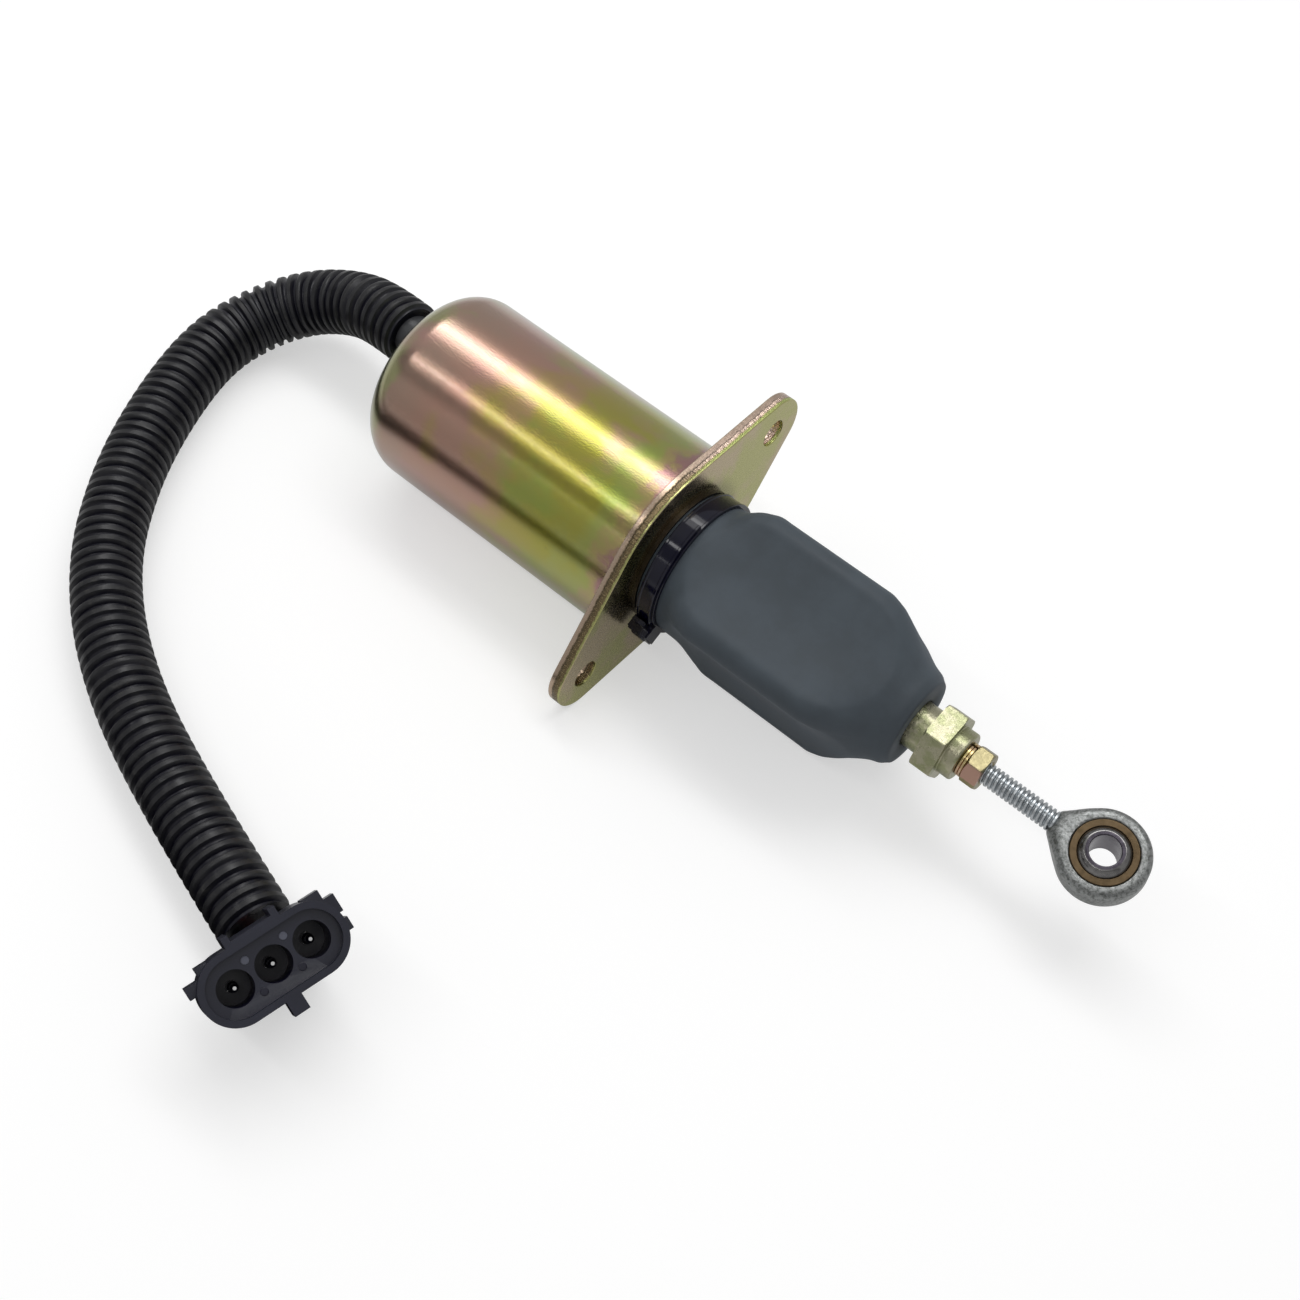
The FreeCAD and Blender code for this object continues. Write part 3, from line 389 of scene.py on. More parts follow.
def makeCanFinish():
    # Yellow chromate over zinc: interference tints drift along the can in soft patches
    look = canColours
    finish, tree, shader = newFinish("yellowZincCan", {
        "Metallic": 1.0, "Coat Weight": look["coat"], "Coat Roughness": look["coatRoughness"]})
    point = objectPoint(tree)
    patches = noise(tree, point, look["patchScale"], 2.0, 0.5)
    fine = noise(tree, point, look["patchScale"] * 4, 4.0, 0.6)
    # tints by station, which drift most at the can's middle
    station = calc(tree, "DIVIDE", difference(tree, axisValue(tree, "X"), look["back"]), look["length"])
    middle = product(tree, product(tree, station, difference(tree, 1.0, station)), 4.0)
    shift = product(tree, difference(tree, patches, 0.5), look["patchShift"])
    drift = calc(tree, "MULTIPLY_ADD", shift, middle, station)
    drift = calc(tree, "MULTIPLY_ADD", difference(tree, fine, 0.5), look["fineShift"], drift)
    colour = ramp(tree, drift, look["tints"])
    # painted reflection: a green streak on the far side stands in for the green sheen seen at grazing view
    # along that silhouette; mauve clouds above and green ones towards the flange
    turn = roundTurn(tree)
    first, last = math.radians(look["grazingGreenFrom"]), math.radians(look["grazingGreenTo"])
    edge = product(tree, spread(tree, turn, first - 0.3, first),
                   spread(tree, turn, last - 0.35, last, 1.0, 0.0))
    cloud = spread(tree, noise(tree, point, look["cloudScale"], 2.0), 0.30, 0.55, 0.25, 0.85)
    colour = blendColour(tree, product(tree, edge, cloud), colour, look["grazingGreenReflection"])
    drawn = objectPoint(tree, look["drawn"])
    mauve = noise(tree, drawn, look["mauveScale"], 3.0, 0.6)
    upper = product(tree, spread(tree, mauve, 0.48, 0.68), spread(tree, turn, 2.3, 1.9, 0.0, 0.75))
    colour = blendColour(tree, upper, colour, look["mauve"])
    green = noise(tree, drawn, look["greenScale"], 3.0, 0.6)
    front = product(tree, spread(tree, green, 0.50, 0.72), spread(tree, station, 0.3, 0.6, 0.0, 0.6))
    colour = blendColour(tree, front, colour, look["greenCloud"])
    pits = rareSpots(tree, point, look["pitScale"], 0.012, 0.026, look["pitShare"], 0)
    colour = blendColour(tree, pits, colour, look["pitColour"])
    tree.links.new(colour, shader.inputs["Base Color"])
    flecks = noise(tree, roundAxisPoint(tree, look["fleckAlong"], look["fleckRound"]), 1.0, 2.0, 0.6)
    tree.links.new(spread(tree, flecks, 0.3, 0.75, 0.17, 0.26), shader.inputs["Roughness"])
    bump(tree, shader, flecks, 0.6, 0.06)
    return finish


def makeZincFinish(name, warm, cool, patchSize=120.0, grain=0.3, roughness=(0.22, 0.4), balance=(0.42, 0.6)):
    # Yellow zinc on a small piece: two tints in patches, with a fine grain
    finish, tree, shader = newFinish(name, {"Metallic": 1.0})
    point = objectPoint(tree)
    patches = noise(tree, point, patchSize, 4.0, 0.6)
    colour = blendColour(tree, spread(tree, patches, *balance), warm, cool)
    tree.links.new(colour, shader.inputs["Base Color"])
    flecks = noise(tree, point, 1700.0, 3.0, 0.65)
    tree.links.new(spread(tree, flecks, 0.3, 0.75, *roughness), shader.inputs["Roughness"])
    bump(tree, shader, flecks, grain, 0.09)
    return finish, tree, shader


def makeTurnedTint(name, upper, lower, turns):
    # Zinc whose tint changes round the X axis, from an upper to a lower side
    darker = tuple(channel * 0.85 for channel in upper)
    finish, tree, shader = makeZincFinish(name, upper, darker, 260.0, 0.3, (0.28, 0.42))
    before = shader.inputs["Base Color"].links[0].from_socket
    below = spread(tree, roundTurn(tree), *turns)
    tree.links.new(blendColour(tree, below, before, lower), shader.inputs["Base Color"])
    return finish


plateColours = {
    "gold": (0.50, 0.41, 0.26),
    "green": (0.44, 0.43, 0.17),
    "thickness": 0.0032,
    "streakDrift": 0.0009,
    # tints through the sheared edge, from the can's side to the boot's
    "smoothEdge": [
        (0.00, (0.55, 0.42, 0.33)), (0.66, (0.58, 0.44, 0.36)), (0.72, (0.30, 0.24, 0.14)),
        (0.80, (0.50, 0.55, 0.20)), (1.00, (0.55, 0.60, 0.22)),
    ],
    "tornEdge": [
        (0.00, (0.55, 0.42, 0.33)), (0.30, (0.50, 0.38, 0.28)), (0.40, (0.16, 0.12, 0.07)),
        (0.80, (0.20, 0.15, 0.08)), (0.90, (0.42, 0.42, 0.17)), (1.00, (0.50, 0.50, 0.20)),
    ],
    # painted reflection of the boot and tie on the faces round the hub
    "hubPaintedReflection": (0.10, 0.075, 0.045),
    "hubPaintedReflectionReach": (0.0165, 0.0205),
}


def makePlateFinish():
    # Flange: gold and pink faces, and a sheared edge with a smooth and a torn band
    look = plateColours
    finish, tree, shader = makeZincFinish(
        "yellowZincPlate", look["gold"], look["green"], 60.0, 0.10, (0.20, 0.34), (0.40, 0.58))
    face = shader.inputs["Base Color"].links[0].from_socket
    place = addNode(tree, "ShaderNodeNewGeometry")
    facing = addNode(tree, "ShaderNodeSeparateXYZ", {0: place.outputs["True Normal"]}).outputs[0]
    edge = spread(tree, calc(tree, "ABSOLUTE", facing), 0.35, 0.75, 1.0, 0.0)
    streaks = noise(tree, objectPoint(tree, (300.0, 1500.0, 1500.0)), 1.0, 3.0, 0.7)
    height = calc(tree, "MULTIPLY_ADD", difference(tree, streaks, 0.5), look["streakDrift"],
                  axisValue(tree, "X"))
    through = calc(tree, "MULTIPLY_ADD", height, 1 / look["thickness"], 1.0)
    smooth = ramp(tree, through, look["smoothEdge"])
    sheared = ramp(tree, through, look["tornEdge"])
    band = blendColour(tree, spread(tree, axisValue(tree, "Y"), -0.004, 0.012), sheared, smooth)
    # painted reflection: the faces are darker close to the hub, standing in for the black boot and tie
    # mirrored in them
    distance = addNode(tree, "ShaderNodeVectorMath", {0: objectPoint(tree, (0.0, 1.0, 1.0))},
                       operation="LENGTH")
    near = spread(tree, distance.outputs["Value"], *look["hubPaintedReflectionReach"], 0.45, 0.0)
    face = blendColour(tree, near, face, look["hubPaintedReflection"])
    tree.links.new(blendColour(tree, edge, face, band), shader.inputs["Base Color"])
    tornBand = product(tree, spread(tree, height, -0.0019, -0.0016),
                       spread(tree, height, -0.0007, -0.0004, 1.0, 0.0))
    torn = product(tree, edge, tornBand)
    bump(tree, shader, product(tree, streaks, torn), 0.9, 0.35)
    return finish


def makeMetalFinish(name, colour, roughness=(0.25, 0.4), grainSize=900.0, grain=0.2, depth=0.03, stain=None):
    finish, tree, shader = newFinish(name, {"Metallic": 1.0})
    point = objectPoint(tree)
    grainy = noise(tree, point, grainSize, 4.0, 0.65)
    dark = tuple(channel * 0.72 for channel in colour)
    tone = blendColour(tree, spread(tree, grainy, 0.32, 0.62), stain or dark, colour)
    tree.links.new(tone, shader.inputs["Base Color"])
    tree.links.new(spread(tree, noise(tree, point, grainSize / 4, 3.0), 0.3, 0.7, *roughness),
                   shader.inputs["Roughness"])
    bump(tree, shader, grainy, grain, depth)
    return finish


def makeMouldedFinish(name, colour, roughness=(0.35, 0.5), grainSize=1500.0, grain=0.15, depth=0.03,
                      dust=0.0, specular=0.5):
    # Plastic or rubber: faint mottling, a fine grain and, on request, pale specks of dust
    finish, tree, shader = newFinish(name, {"Metallic": 0.0, "Specular IOR Level": specular})
    point = objectPoint(tree)
    mottle = noise(tree, point, 85.0, 4.0, 0.6)
    tone = blendColour(tree, spread(tree, mottle, 0.3, 0.7), tuple(channel * 0.86 for channel in colour),
                       tuple(min(channel * 1.12, 1.0) for channel in colour))
    if dust:
        specks = rareSpots(tree, point, 330.0, 0.022, 0.05, dust, 1)
        tone = blendColour(tree, specks, tone, (0.30, 0.28, 0.24))
    tree.links.new(tone, shader.inputs["Base Color"])
    grainy = noise(tree, point, grainSize, 3.0, 0.6)
    tree.links.new(spread(tree, mottle, 0.3, 0.7, *roughness), shader.inputs["Roughness"])
    bump(tree, shader, grainy, grain, depth)
    return finish, tree, shader


def makeConduitFinish():
    # Black corrugated plastic: navy-black valleys and slightly greyer, smoother crests; the valleys' extra
    # darkness is painted shade in the grooves
    finish, tree, shader = newFinish("conduitPlastic", {"Metallic": 0.0, "Specular IOR Level": 0.38})
    raised = addNode(tree, "ShaderNodeAttribute", attribute_name="ribRaise").outputs["Fac"]
    scuffs = noise(tree, objectPoint(tree, (1.0, 1.0, 2.0)), 260.0, 4.0, 0.65)
    # painted shade: the valleys are darker than the crests
    colour = blendColour(tree, raised, (0.003, 0.003, 0.009), (0.012, 0.012, 0.014))
    scuffed = product(tree, raised, spread(tree, scuffs, 0.55, 0.75))
    colour = blendColour(tree, scuffed, colour, (0.032, 0.031, 0.030))
    tree.links.new(colour, shader.inputs["Base Color"])
    tree.links.new(spread(tree, scuffs, 0.3, 0.7, 0.30, 0.48), shader.inputs["Roughness"])
    bump(tree, shader, noise(tree, objectPoint(tree), 1400.0, 3.0), 0.15, 0.04)
    return finish


canFinish = makeCanFinish()
plateFinish = makePlateFinish()
# painted reflection: the green-yellow seen inside the flange's holes
holeReflectionFinish = makeZincFinish(
    "yellowZincHoleReflection", (0.50, 0.56, 0.10), (0.42, 0.50, 0.14), 120.0, 0.3, (0.2, 0.3))[0]
couplerFinish = makeZincFinish(
    "yellowZincCoupler", (0.42, 0.40, 0.28), (0.32, 0.33, 0.19), 320.0, 0.9, (0.26, 0.40))[0]
washerFinish = makeZincFinish("yellowZincWasher", (0.62, 0.43, 0.29), (0.58, 0.48, 0.22), 160.0)[0]
nutFinish = makeTurnedTint("yellowZincNut", (0.31, 0.27, 0.15), (0.50, 0.31, 0.24), (2.2, 2.35))
# dark steel, painted darker still with the shade that falls on the hub between flange and boot
hubSteelAndShadeFinish = makeMetalFinish("darkSteelWithPaintedShade", (0.060, 0.048, 0.036), (0.30, 0.45))
shankFinish = makeMetalFinish("zincBright", (0.56, 0.59, 0.61), (0.26, 0.38), 1200.0, 0.15, 0.02)
castFinish = makeMetalFinish(
    "zincCast", (0.33, 0.34, 0.335), (0.28, 0.46), 1600.0, 0.75, 0.12, (0.13, 0.135, 0.13))
bronzeFinish = makeMetalFinish("raceBronze", (0.13, 0.092, 0.052), (0.25, 0.42), 700.0, 0.2, 0.03)
ballFinish = makeMetalFinish(
    "ballSteel", (0.22, 0.215, 0.21), (0.14, 0.26), 800.0, 0.08, 0.02, (0.16, 0.155, 0.155))
boreFinish = makeMetalFinish("ballBore", (0.10, 0.09, 0.11), (0.2, 0.34), 800.0, 0.1, 0.02)
ironFinish = makeMetalFinish("softIron", (0.45, 0.45, 0.46))
tubeFinish = makeMetalFinish("tubeBrass", (0.72, 0.55, 0.25))
copperFinish = makeMetalFinish("copperWire", (0.65, 0.28, 0.14))
springFinish = makeMetalFinish("springSteel", (0.40, 0.40, 0.42))
contactFinish = makeMetalFinish("tinnedContact", (0.80, 0.80, 0.80), (0.12, 0.22), 700.0, 0.05, 0.01)
# painted shade: the darker colour of the connector's cavities and of its lower marks
cavityShadeFinish = makeMouldedFinish("cavityPaintedShade", (0.003, 0.003, 0.014), (0.3, 0.45))[0]
bobbinFinish = makeMouldedFinish("bobbinNylon", (0.70, 0.66, 0.56))[0]
tapeFinish = makeMouldedFinish("windingTape", (0.62, 0.52, 0.25))[0]
boardFinish = makeMouldedFinish("fibreBoard", (0.22, 0.12, 0.06), (0.6, 0.75))[0]
tieFinish = makeMouldedFinish(
    "tieNylon", (0.002, 0.002, 0.012), (0.07, 0.13), 900.0, 0.05, 0.02, specular=0.4)[0]
grommetFinish = makeMouldedFinish(
    "grommetRubber", (0.030, 0.031, 0.035), (0.30, 0.45), 1200.0, 0.3, 0.05)[0]
housingFinish = makeMouldedFinish(
    "connectorPlastic", (0.011, 0.012, 0.024), (0.28, 0.40), 2200.0, 0.25, 0.03)[0]
markFinish = makeMouldedFinish("ejectorMark", (0.085, 0.09, 0.12), (0.25, 0.4))[0]
sealFinish = makeMouldedFinish("sealRubber", (0.05, 0.10, 0.055))[0]
whiteLead = makeMouldedFinish("leadWhite", (0.55, 0.57, 0.57), (0.4, 0.5))[0]
redLead = makeMouldedFinish("leadRed", (0.24, 0.028, 0.020), (0.4, 0.5))[0]
blackLead = makeMouldedFinish("leadBlack", (0.012, 0.012, 0.014), (0.35, 0.45))[0]
conduitFinish = makeConduitFinish()
print("finishes made")


# Conduit and leads

conduitShape = {
    "route": [                    # millimetres, from the can's closed end to the connector
        (-87.0, 6.0, 0.0), (-98.0, 7.5, -1.5), (-109.0, 8.0, -6.0), (-119.5, 4.3, -10.6),
        (-127.0, -4.5, -14.3), (-129.8, -19.0, -16.05), (-123.8, -38.5, -16.05), (-113.0, -60.5, -16.05),
        (-96.5, -81.5, -16.05), (-73.0, -97.5, -16.05), (-42.5, -109.0, -16.05), (-6.5, -118.5, -16.05),
    ],
    "outerRadius": 7.75,
    "valleyRadius": 6.75,
    "innerRadius": 6.1,
    "ribPitch": 2.8,
    "crestShare": 0.56,
    "crestSoftness": 0.17,
    "pointSpacing": 0.27,
    "sides": 56.0,
    "length": 0.230,
}
leadShape = {
    "radius": 1.15,
    "mouthPitch": 2.36,
    "spread": 3.0,
    "fan": 0.5,
    "boardStation": -72.4,
    "straight": 4.5,
    "entry": 1.0,
    "cavityPitch": 8.1,
}
connectorPose = {
    "centre": (9.15, -126.62, 2.0),
    "azimuth": 66.0,
    "elevation": 60.0,
    "twist": 13.0,
    "depth": 18.0,
}


def connectorMatrix():
    azimuth = math.radians(connectorPose["azimuth"])
    elevation = math.radians(connectorPose["elevation"])
    out = Vector((math.cos(elevation) * math.sin(azimuth), -math.cos(elevation) * math.cos(azimuth),
                  math.sin(elevation)))
    level = Vector((math.cos(azimuth), math.sin(azimuth), 0.0))
    axes = Matrix((level, out.cross(level), out)).transposed()
    twist = Matrix.Rotation(math.radians(connectorPose["twist"]), 3, "Z")
    return Matrix.Translation(connectorPose["centre"]) @ (axes @ twist).to_4x4()


plugFrame = connectorMatrix()


def smoothLine(name, points, radius=0.0):
    # The mesh of a NURBS cord in metres: its line, or with a radius its round skin with closed ends
    curve = bpy.data.curves.new(name, "CURVE")
    curve.dimensions = "3D"
    spline = curve.splines.new("NURBS")
    spline.points.add(len(points) - 1)
    for knot, point in zip(spline.points, points):
        knot.co = (*(Vector(point) * millimetre), 1.0)
    spline.order_u = 3
    spline.use_endpoint_u = True
    spline.resolution_u = 12 if radius else 24
    curve.bevel_depth = radius * millimetre
    curve.bevel_resolution = 4
    curve.use_fill_caps = radius > 0
    holder = addObject(name, curve)
    bpy.context.view_layer.update()
    line = bpy.data.meshes.new_from_object(holder.evaluated_get(bpy.context.evaluated_depsgraph_get()))
    bpy.data.objects.remove(holder)
    return line


def conduitTree():
    # A ribbed outer skin and a smooth inner one along the line
    tree, inlet, outlet = newTree("ribbedConduit", [
        "Outer Radius", "Valley Radius", "Inner Radius", "Rib Pitch", "Crest Share", "Crest Softness",
        "Point Spacing", "Sides"])
    size = inlet.outputs
    line = addNode(tree, "GeometryNodeMeshToCurve", {"Mesh": size["Geometry"]})
    even = addNode(tree, "GeometryNodeResampleCurve",
                   {"Curve": line.outputs[0], "Length": size["Point Spacing"]}, mode="LENGTH")
    along = addNode(tree, "GeometryNodeSplineParameter").outputs["Length"]
    phase = calc(tree, "FRACT", calc(tree, "DIVIDE", along, size["Rib Pitch"]))
    away = product(tree, calc(tree, "ABSOLUTE", difference(tree, phase, 0.5)), 2.0)
    raised = spread(tree, away, calc(tree, "ADD", size["Crest Share"], size["Crest Softness"]),
                    difference(tree, size["Crest Share"], size["Crest Softness"]))
    relief = difference(tree, size["Outer Radius"], size["Valley Radius"])
    radius = calc(tree, "MULTIPLY_ADD", relief, raised, size["Valley Radius"])
    kept = addNode(tree, "GeometryNodeStoreNamedAttribute",
                   {"Geometry": even.outputs[0], "Name": "ribRaise", "Value": raised},
                   data_type="FLOAT", domain="POINT")
    ring = addNode(tree, "GeometryNodeCurvePrimitiveCircle", {"Resolution": size["Sides"], "Radius": 1.0})
    skin = addNode(tree, "GeometryNodeCurveToMesh",
                   {"Curve": kept.outputs[0], "Profile Curve": ring.outputs[0], "Scale": radius})
    lining = addNode(tree, "GeometryNodeCurveToMesh", {
        "Curve": even.outputs[0], "Profile Curve": ring.outputs[0], "Scale": size["Inner Radius"]})
    both = addNode(tree, "GeometryNodeJoinGeometry")
    tree.links.new(skin.outputs[0], both.inputs[0])
    tree.links.new(lining.outputs[0], both.inputs[0])
    endTree(tree, inlet, outlet, both.outputs[0])
    return tree


def closeEnds(piece):
    # Joins the open edges of the outer and the inner skin at each end of a tube
    form = bmesh.new()
    form.from_mesh(piece.data)
    loose = [edge for edge in form.edges if edge.is_boundary]
    middle = sum((edge.verts[0].co for edge in loose), Vector()) / len(loose)
    far = max(loose, key=lambda edge: (edge.verts[0].co - middle).length).verts[0].co.copy()
    reach = 3 * conduitShape["outerRadius"] * millimetre
    ends = ([e for e in loose if (e.verts[0].co - far).length < reach],
            [e for e in loose if (e.verts[0].co - far).length >= reach])
    for rim in ends:
        bmesh.ops.bridge_loops(form, edges=rim)
    bmesh.ops.recalc_face_normals(form, faces=form.faces)
    form.to_mesh(piece.data)
    form.free()


def makeConduit():
    line = smoothLine("conduitLine", conduitShape["route"])
    path = [tuple(vertex.co) for vertex in line.vertices]
    sizes = {"Outer Radius": "outerRadius", "Valley Radius": "valleyRadius", "Inner Radius": "innerRadius",
             "Rib Pitch": "ribPitch", "Point Spacing": "pointSpacing"}
    values = {label: conduitShape[key] * millimetre for label, key in sizes.items()}
    values["Crest Share"] = conduitShape["crestShare"]
    values["Crest Softness"] = conduitShape["crestSoftness"]
    values["Sides"] = conduitShape["sides"]
    piece = grown("corrugatedConduit", conduitTree(), line, values, conduitFinish)
    closeEnds(piece)
    shadeSmooth(piece.data, 50.0)
    standFor(piece, "conduit", conduitFinish)
    return piece, path


def leadRoute(place):
    # place is 1 for the upper lead in the conduit, 0 for the middle and -1 for the lower one
    step = Vector((0.0, 0.0, place * leadShape["mouthPitch"]))
    rise = Vector((0.0, 0.0, place * leadShape["spread"]))
    mouth = Vector(conduitShape["route"][0]) + step
    row = -place * leadShape["cavityPitch"]
    fan = plugFrame.to_3x3() @ Vector((row * leadShape["fan"], 0.0, 0.0))
    back = -connectorPose["depth"]
    route = [Vector((leadShape["boardStation"], mouth.y, mouth.z)), mouth]
    route += [Vector(point) + rise for point in conduitShape["route"][1:-1]]
    route.append(Vector(conduitShape["route"][-1]) + fan)
    route.append(plugFrame @ Vector((row, 0.0, back - leadShape["straight"])))
    route.append(plugFrame @ Vector((row, 0.0, back + leadShape["entry"])))
    return route


def makeLead(name, node, place, finish):
    points = leadRoute(place)
    path = [tuple(vertex.co) for vertex in smoothLine(name + "Line", points).vertices]
    skin = smoothLine(name, points, leadShape["radius"])
    shadeSmooth(skin, 50.0)
    piece = addObject(name, skin)
    standFor(piece, node, finish)


def cadStation(node):
    # The rearmost station of a node, in millimetres
    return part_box(node)[0].x / millimetre


# Connector

connectorShape = {
    "edge": 0.32,
    "recess": 1.8,
    "marks": [(-4.05, 3.45), (4.05, 3.45)],
    # the lower pair of marks takes the cavities' painted shade
    "shadedMarks": [(-4.05, -3.3), (4.05, -3.3)],
    "markRadius": 0.78,
    "markHeight": 0.22,
    "markEdge": (0.1, 0.08),      # its chamfer, inwards and down
    "markRoot": 0.1,              # how deep a mark starts below the floor
    "shadeDepth": 2.2,             # painted shade darkens the cavities from here on, and as far out as this
    "shadeReach": 3.7,
}


def makeMarks(name, places, finish):
    # Round moulding marks on the floor of the connector's face
    radius, floor = connectorShape["markRadius"], -connectorShape["recess"]
    root, top = floor - connectorShape["markRoot"], floor + connectorShape["markHeight"]
    inwards, down = connectorShape["markEdge"]
    steps = [(0.0, root), (radius, root), (radius, top - down), (radius - inwards, top), (0.0, top)]

    def build(form):
        for x, y in places:
            rings = []
            for reach, level in steps:
                turns = [2 * math.pi * i / 32 for i in range(32)]
                rings.append([plugFrame @ Vector((x + reach * math.cos(t), y + reach * math.sin(t), level))
                              for t in turns])
            joinRings(form, rings)
    piece = meshFrom(name, build)
    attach(piece, "solenoid")
    piece.data.materials.append(finish)
    return piece


def makeConnector():
    shell = roundedCopy("connector_housing", "connectorShell", connectorShape["edge"])
    standFor(shell, "connector_housing", housingFinish)
    toPlug = plugFrame.inverted()

    def inCavity(point):
        # Cavity walls and floors are painted darker than the satin shell: painted shade in the recesses
        place = toPlug @ point
        row = min(abs(place.x - leadShape["cavityPitch"] * i) for i in (-1, 0, 1))
        near = math.hypot(row, place.y) < connectorShape["shadeReach"]
        return near and place.z < -connectorShape["shadeDepth"]
    paintWhere(shell, cavityShadeFinish, inCavity)
    clip = roundedCopy("connector_rear_lock", "connectorClip", connectorShape["edge"])
    standFor(clip, "connector_rear_lock", housingFinish)
    return [shell, clip, makeMarks("ejectorMarksLight", connectorShape["marks"], markFinish),
            makeMarks("ejectorMarksShaded", connectorShape["shadedMarks"], cavityShadeFinish)]


conduitPiece, conduitPath = makeConduit()
onCord = makeConnector() + [frame["nodes"]["wire_seal_" + side] for side in ("left", "middle", "right")]
makeLead("leadWhite", "lead_white", 1, whiteLead)
makeLead("leadRed", "lead_red", 0, redLead)
makeLead("leadBlack", "lead_black", -1, blackLead)
print("conduit, leads and connector made")


# Can and grommet

canShape = {
    "radius": 23.0,
    "wall": 1.6,
    "corner": 9.0,
    "mouth": -3.2,
    "holeRadius": 5.0,
    "holeCentre": (6.0, 0.0),
    "edge": 0.25,                 # chamfer at the mouth and at the hole
    "innerEdge": 0.2,
    "firstRing": 0.3,             # first ring of the wall, from the mouth
    "segments": 256,
}


def makeCan():
    # Drawn cup: one closed skin from the mouth over the closed end's hole and back inside
    radius, wall, corner = canShape["radius"], canShape["wall"], canShape["corner"]
    back, mouth, edge = cadStation("can"), canShape["mouth"], canShape["edge"]
    turn = cornerArc(back + corner, radius - corner, corner, 90, 180, 24)
    inside = cornerArc(back + corner, radius - corner, corner - wall, 180, 90, 20)
    stations = [mouth - (mouth - back - corner) * i / 8 for i in range(8)]
    outer = [(mouth, radius - edge), (mouth - edge, radius)]
    outer += [(x - canShape["firstRing"], radius) for x in stations] + turn
    inner = inside + [(mouth - edge, radius - wall), (mouth, radius - wall + canShape["innerEdge"])]
    segments = canShape["segments"]
    rings = [circleAbout(x, r, segments) for x, r in outer]
    hole, (y, z) = canShape["holeRadius"], canShape["holeCentre"]
    for x, r in ((back, hole + edge), (back + edge, hole), (back + wall, hole)):
        rings.append(circleAbout(x, r, segments, y, z))
    rings += [circleAbout(x, r, segments) for x, r in inner]
    piece = meshFrom("drawnCan", lambda form: joinRings(form, rings, closed=True))
    standFor(piece, "can", canFinish)


makeCan()
print("can made")


# Flange, hub and cable tie

tieShape = {
    "start": 1.9,
    "width": 4.6,
    "inner": 15.55,
    "thickness": 0.85,
    "lipWidth": 0.5,
    "lipHeight": 0.2,
    "lipEdge": 0.12,
    "lipFoot": 0.2,
    "overlapThickness": 0.85,
    "overlapGap": 0.02,
    "overlapInset": 0.35,
    "overlapDegrees": (100.0, 203.0),
    "headDegrees": 207.0,
    # head, tail and latch: low and high corner, each along X from the strap's start, outwards from
    # its inner face and sideways from the head's middle, and the chamfer
    "blocks": [
        ((-0.4, 0.3, -2.9), (5.0, 4.3, 2.9), 0.35),
        ((0.7, 1.6, -5.9), (3.9, 2.6, -2.4), 0.15),
        ((0.9, 4.1, -1.9), (3.7, 4.65, 1.5), 0.15),
    ],
}
flangeShape = {
    "edge": 0.28,
    "holeReach": 33.35,
    "holeReflectionRadius": 3.35,
}


def strapProfile(inner, thickness, inset=0.0):
    # Strap section with a thin raised lip along each edge
    start, end = tieShape["start"] + inset, tieShape["start"] + tieShape["width"] - inset
    lip, edge, foot = tieShape["lipWidth"], tieShape["lipEdge"], tieShape["lipWidth"] + tieShape["lipFoot"]
    low = inner + thickness
    top = low + tieShape["lipHeight"]
    return [(start, inner), (start, top - edge), (start + edge, top), (start + lip, top),
            (start + foot, low), (end - foot, low), (end - lip, top), (end - edge, top),
            (end, top - edge), (end, inner)]


def sweepRound(form, profile, startDegrees, endDegrees, steps):
    # A profile swept part of the way round the X axis, with flat ends
    rings = []
    for i in range(steps + 1):
        turn = math.radians(startDegrees + (endDegrees - startDegrees) * i / steps)
        rings.append([Vector((x, r * math.cos(turn), r * math.sin(turn))) for x, r in profile])
    made = joinRings(form, rings)
    form.faces.new(made[0])
    form.faces.new(list(reversed(made[-1])))


def boxOn(form, turnDegrees, low, high, chamfer):
    # A chamfered block between two corners (along X, outwards, sideways), turned about the X axis
    turn = Matrix.Rotation(math.radians(turnDegrees), 4, "X")
    size = Matrix.Diagonal((*(high - low), 1.0))
    made = bmesh.ops.create_cube(form, size=1.0, matrix=turn @ Matrix.Translation((low + high) / 2) @ size)
    edges = list({edge for vertex in made["verts"] for edge in vertex.link_edges})
    bmesh.ops.bevel(form, geom=edges, offset=chamfer, segments=2, affect="EDGES")


def makeTie():
    inner, thick = tieShape["inner"], tieShape["thickness"]

    def strap(form):
        joinRings(form, [circleAbout(x, r, 160) for x, r in strapProfile(inner, thick)], closed=True)
    band = meshFrom("tieStrap", strap)

    def overlapping(form):
        over = strapProfile(inner + thick + tieShape["overlapGap"], tieShape["overlapThickness"],
                            tieShape["overlapInset"])
        first, last = tieShape["overlapDegrees"]
        sweepRound(form, over, first, last, 48)
        corner = Vector((tieShape["start"], inner, 0.0))
        for low, high, chamfer in tieShape["blocks"]:
            boxOn(form, tieShape["headDegrees"], corner + Vector(low), corner + Vector(high), chamfer)
    lock = meshFrom("tieHead", overlapping)
    for piece in (band, lock):
        piece.data.materials.append(tieFinish)
        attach(piece, "solenoid")
    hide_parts("boot_tie")


def makeFlange():
    # The holes' walls take a greener tint than the sheared edge: a painted reflection inside the holes
    plate = roundedCopy("mounting_flange", "shearedFlange", flangeShape["edge"], 3)
    standFor(plate, "mounting_flange", plateFinish)

    def inHole(point):
        away = math.hypot(abs(point.y) - flangeShape["holeReach"], point.z)
        return away < flangeShape["holeReflectionRadius"]
    paintWhere(plate, holeReflectionFinish, inHole)


makeFlange()
makeTie()
print("flange and tie made")


# Rubber boot

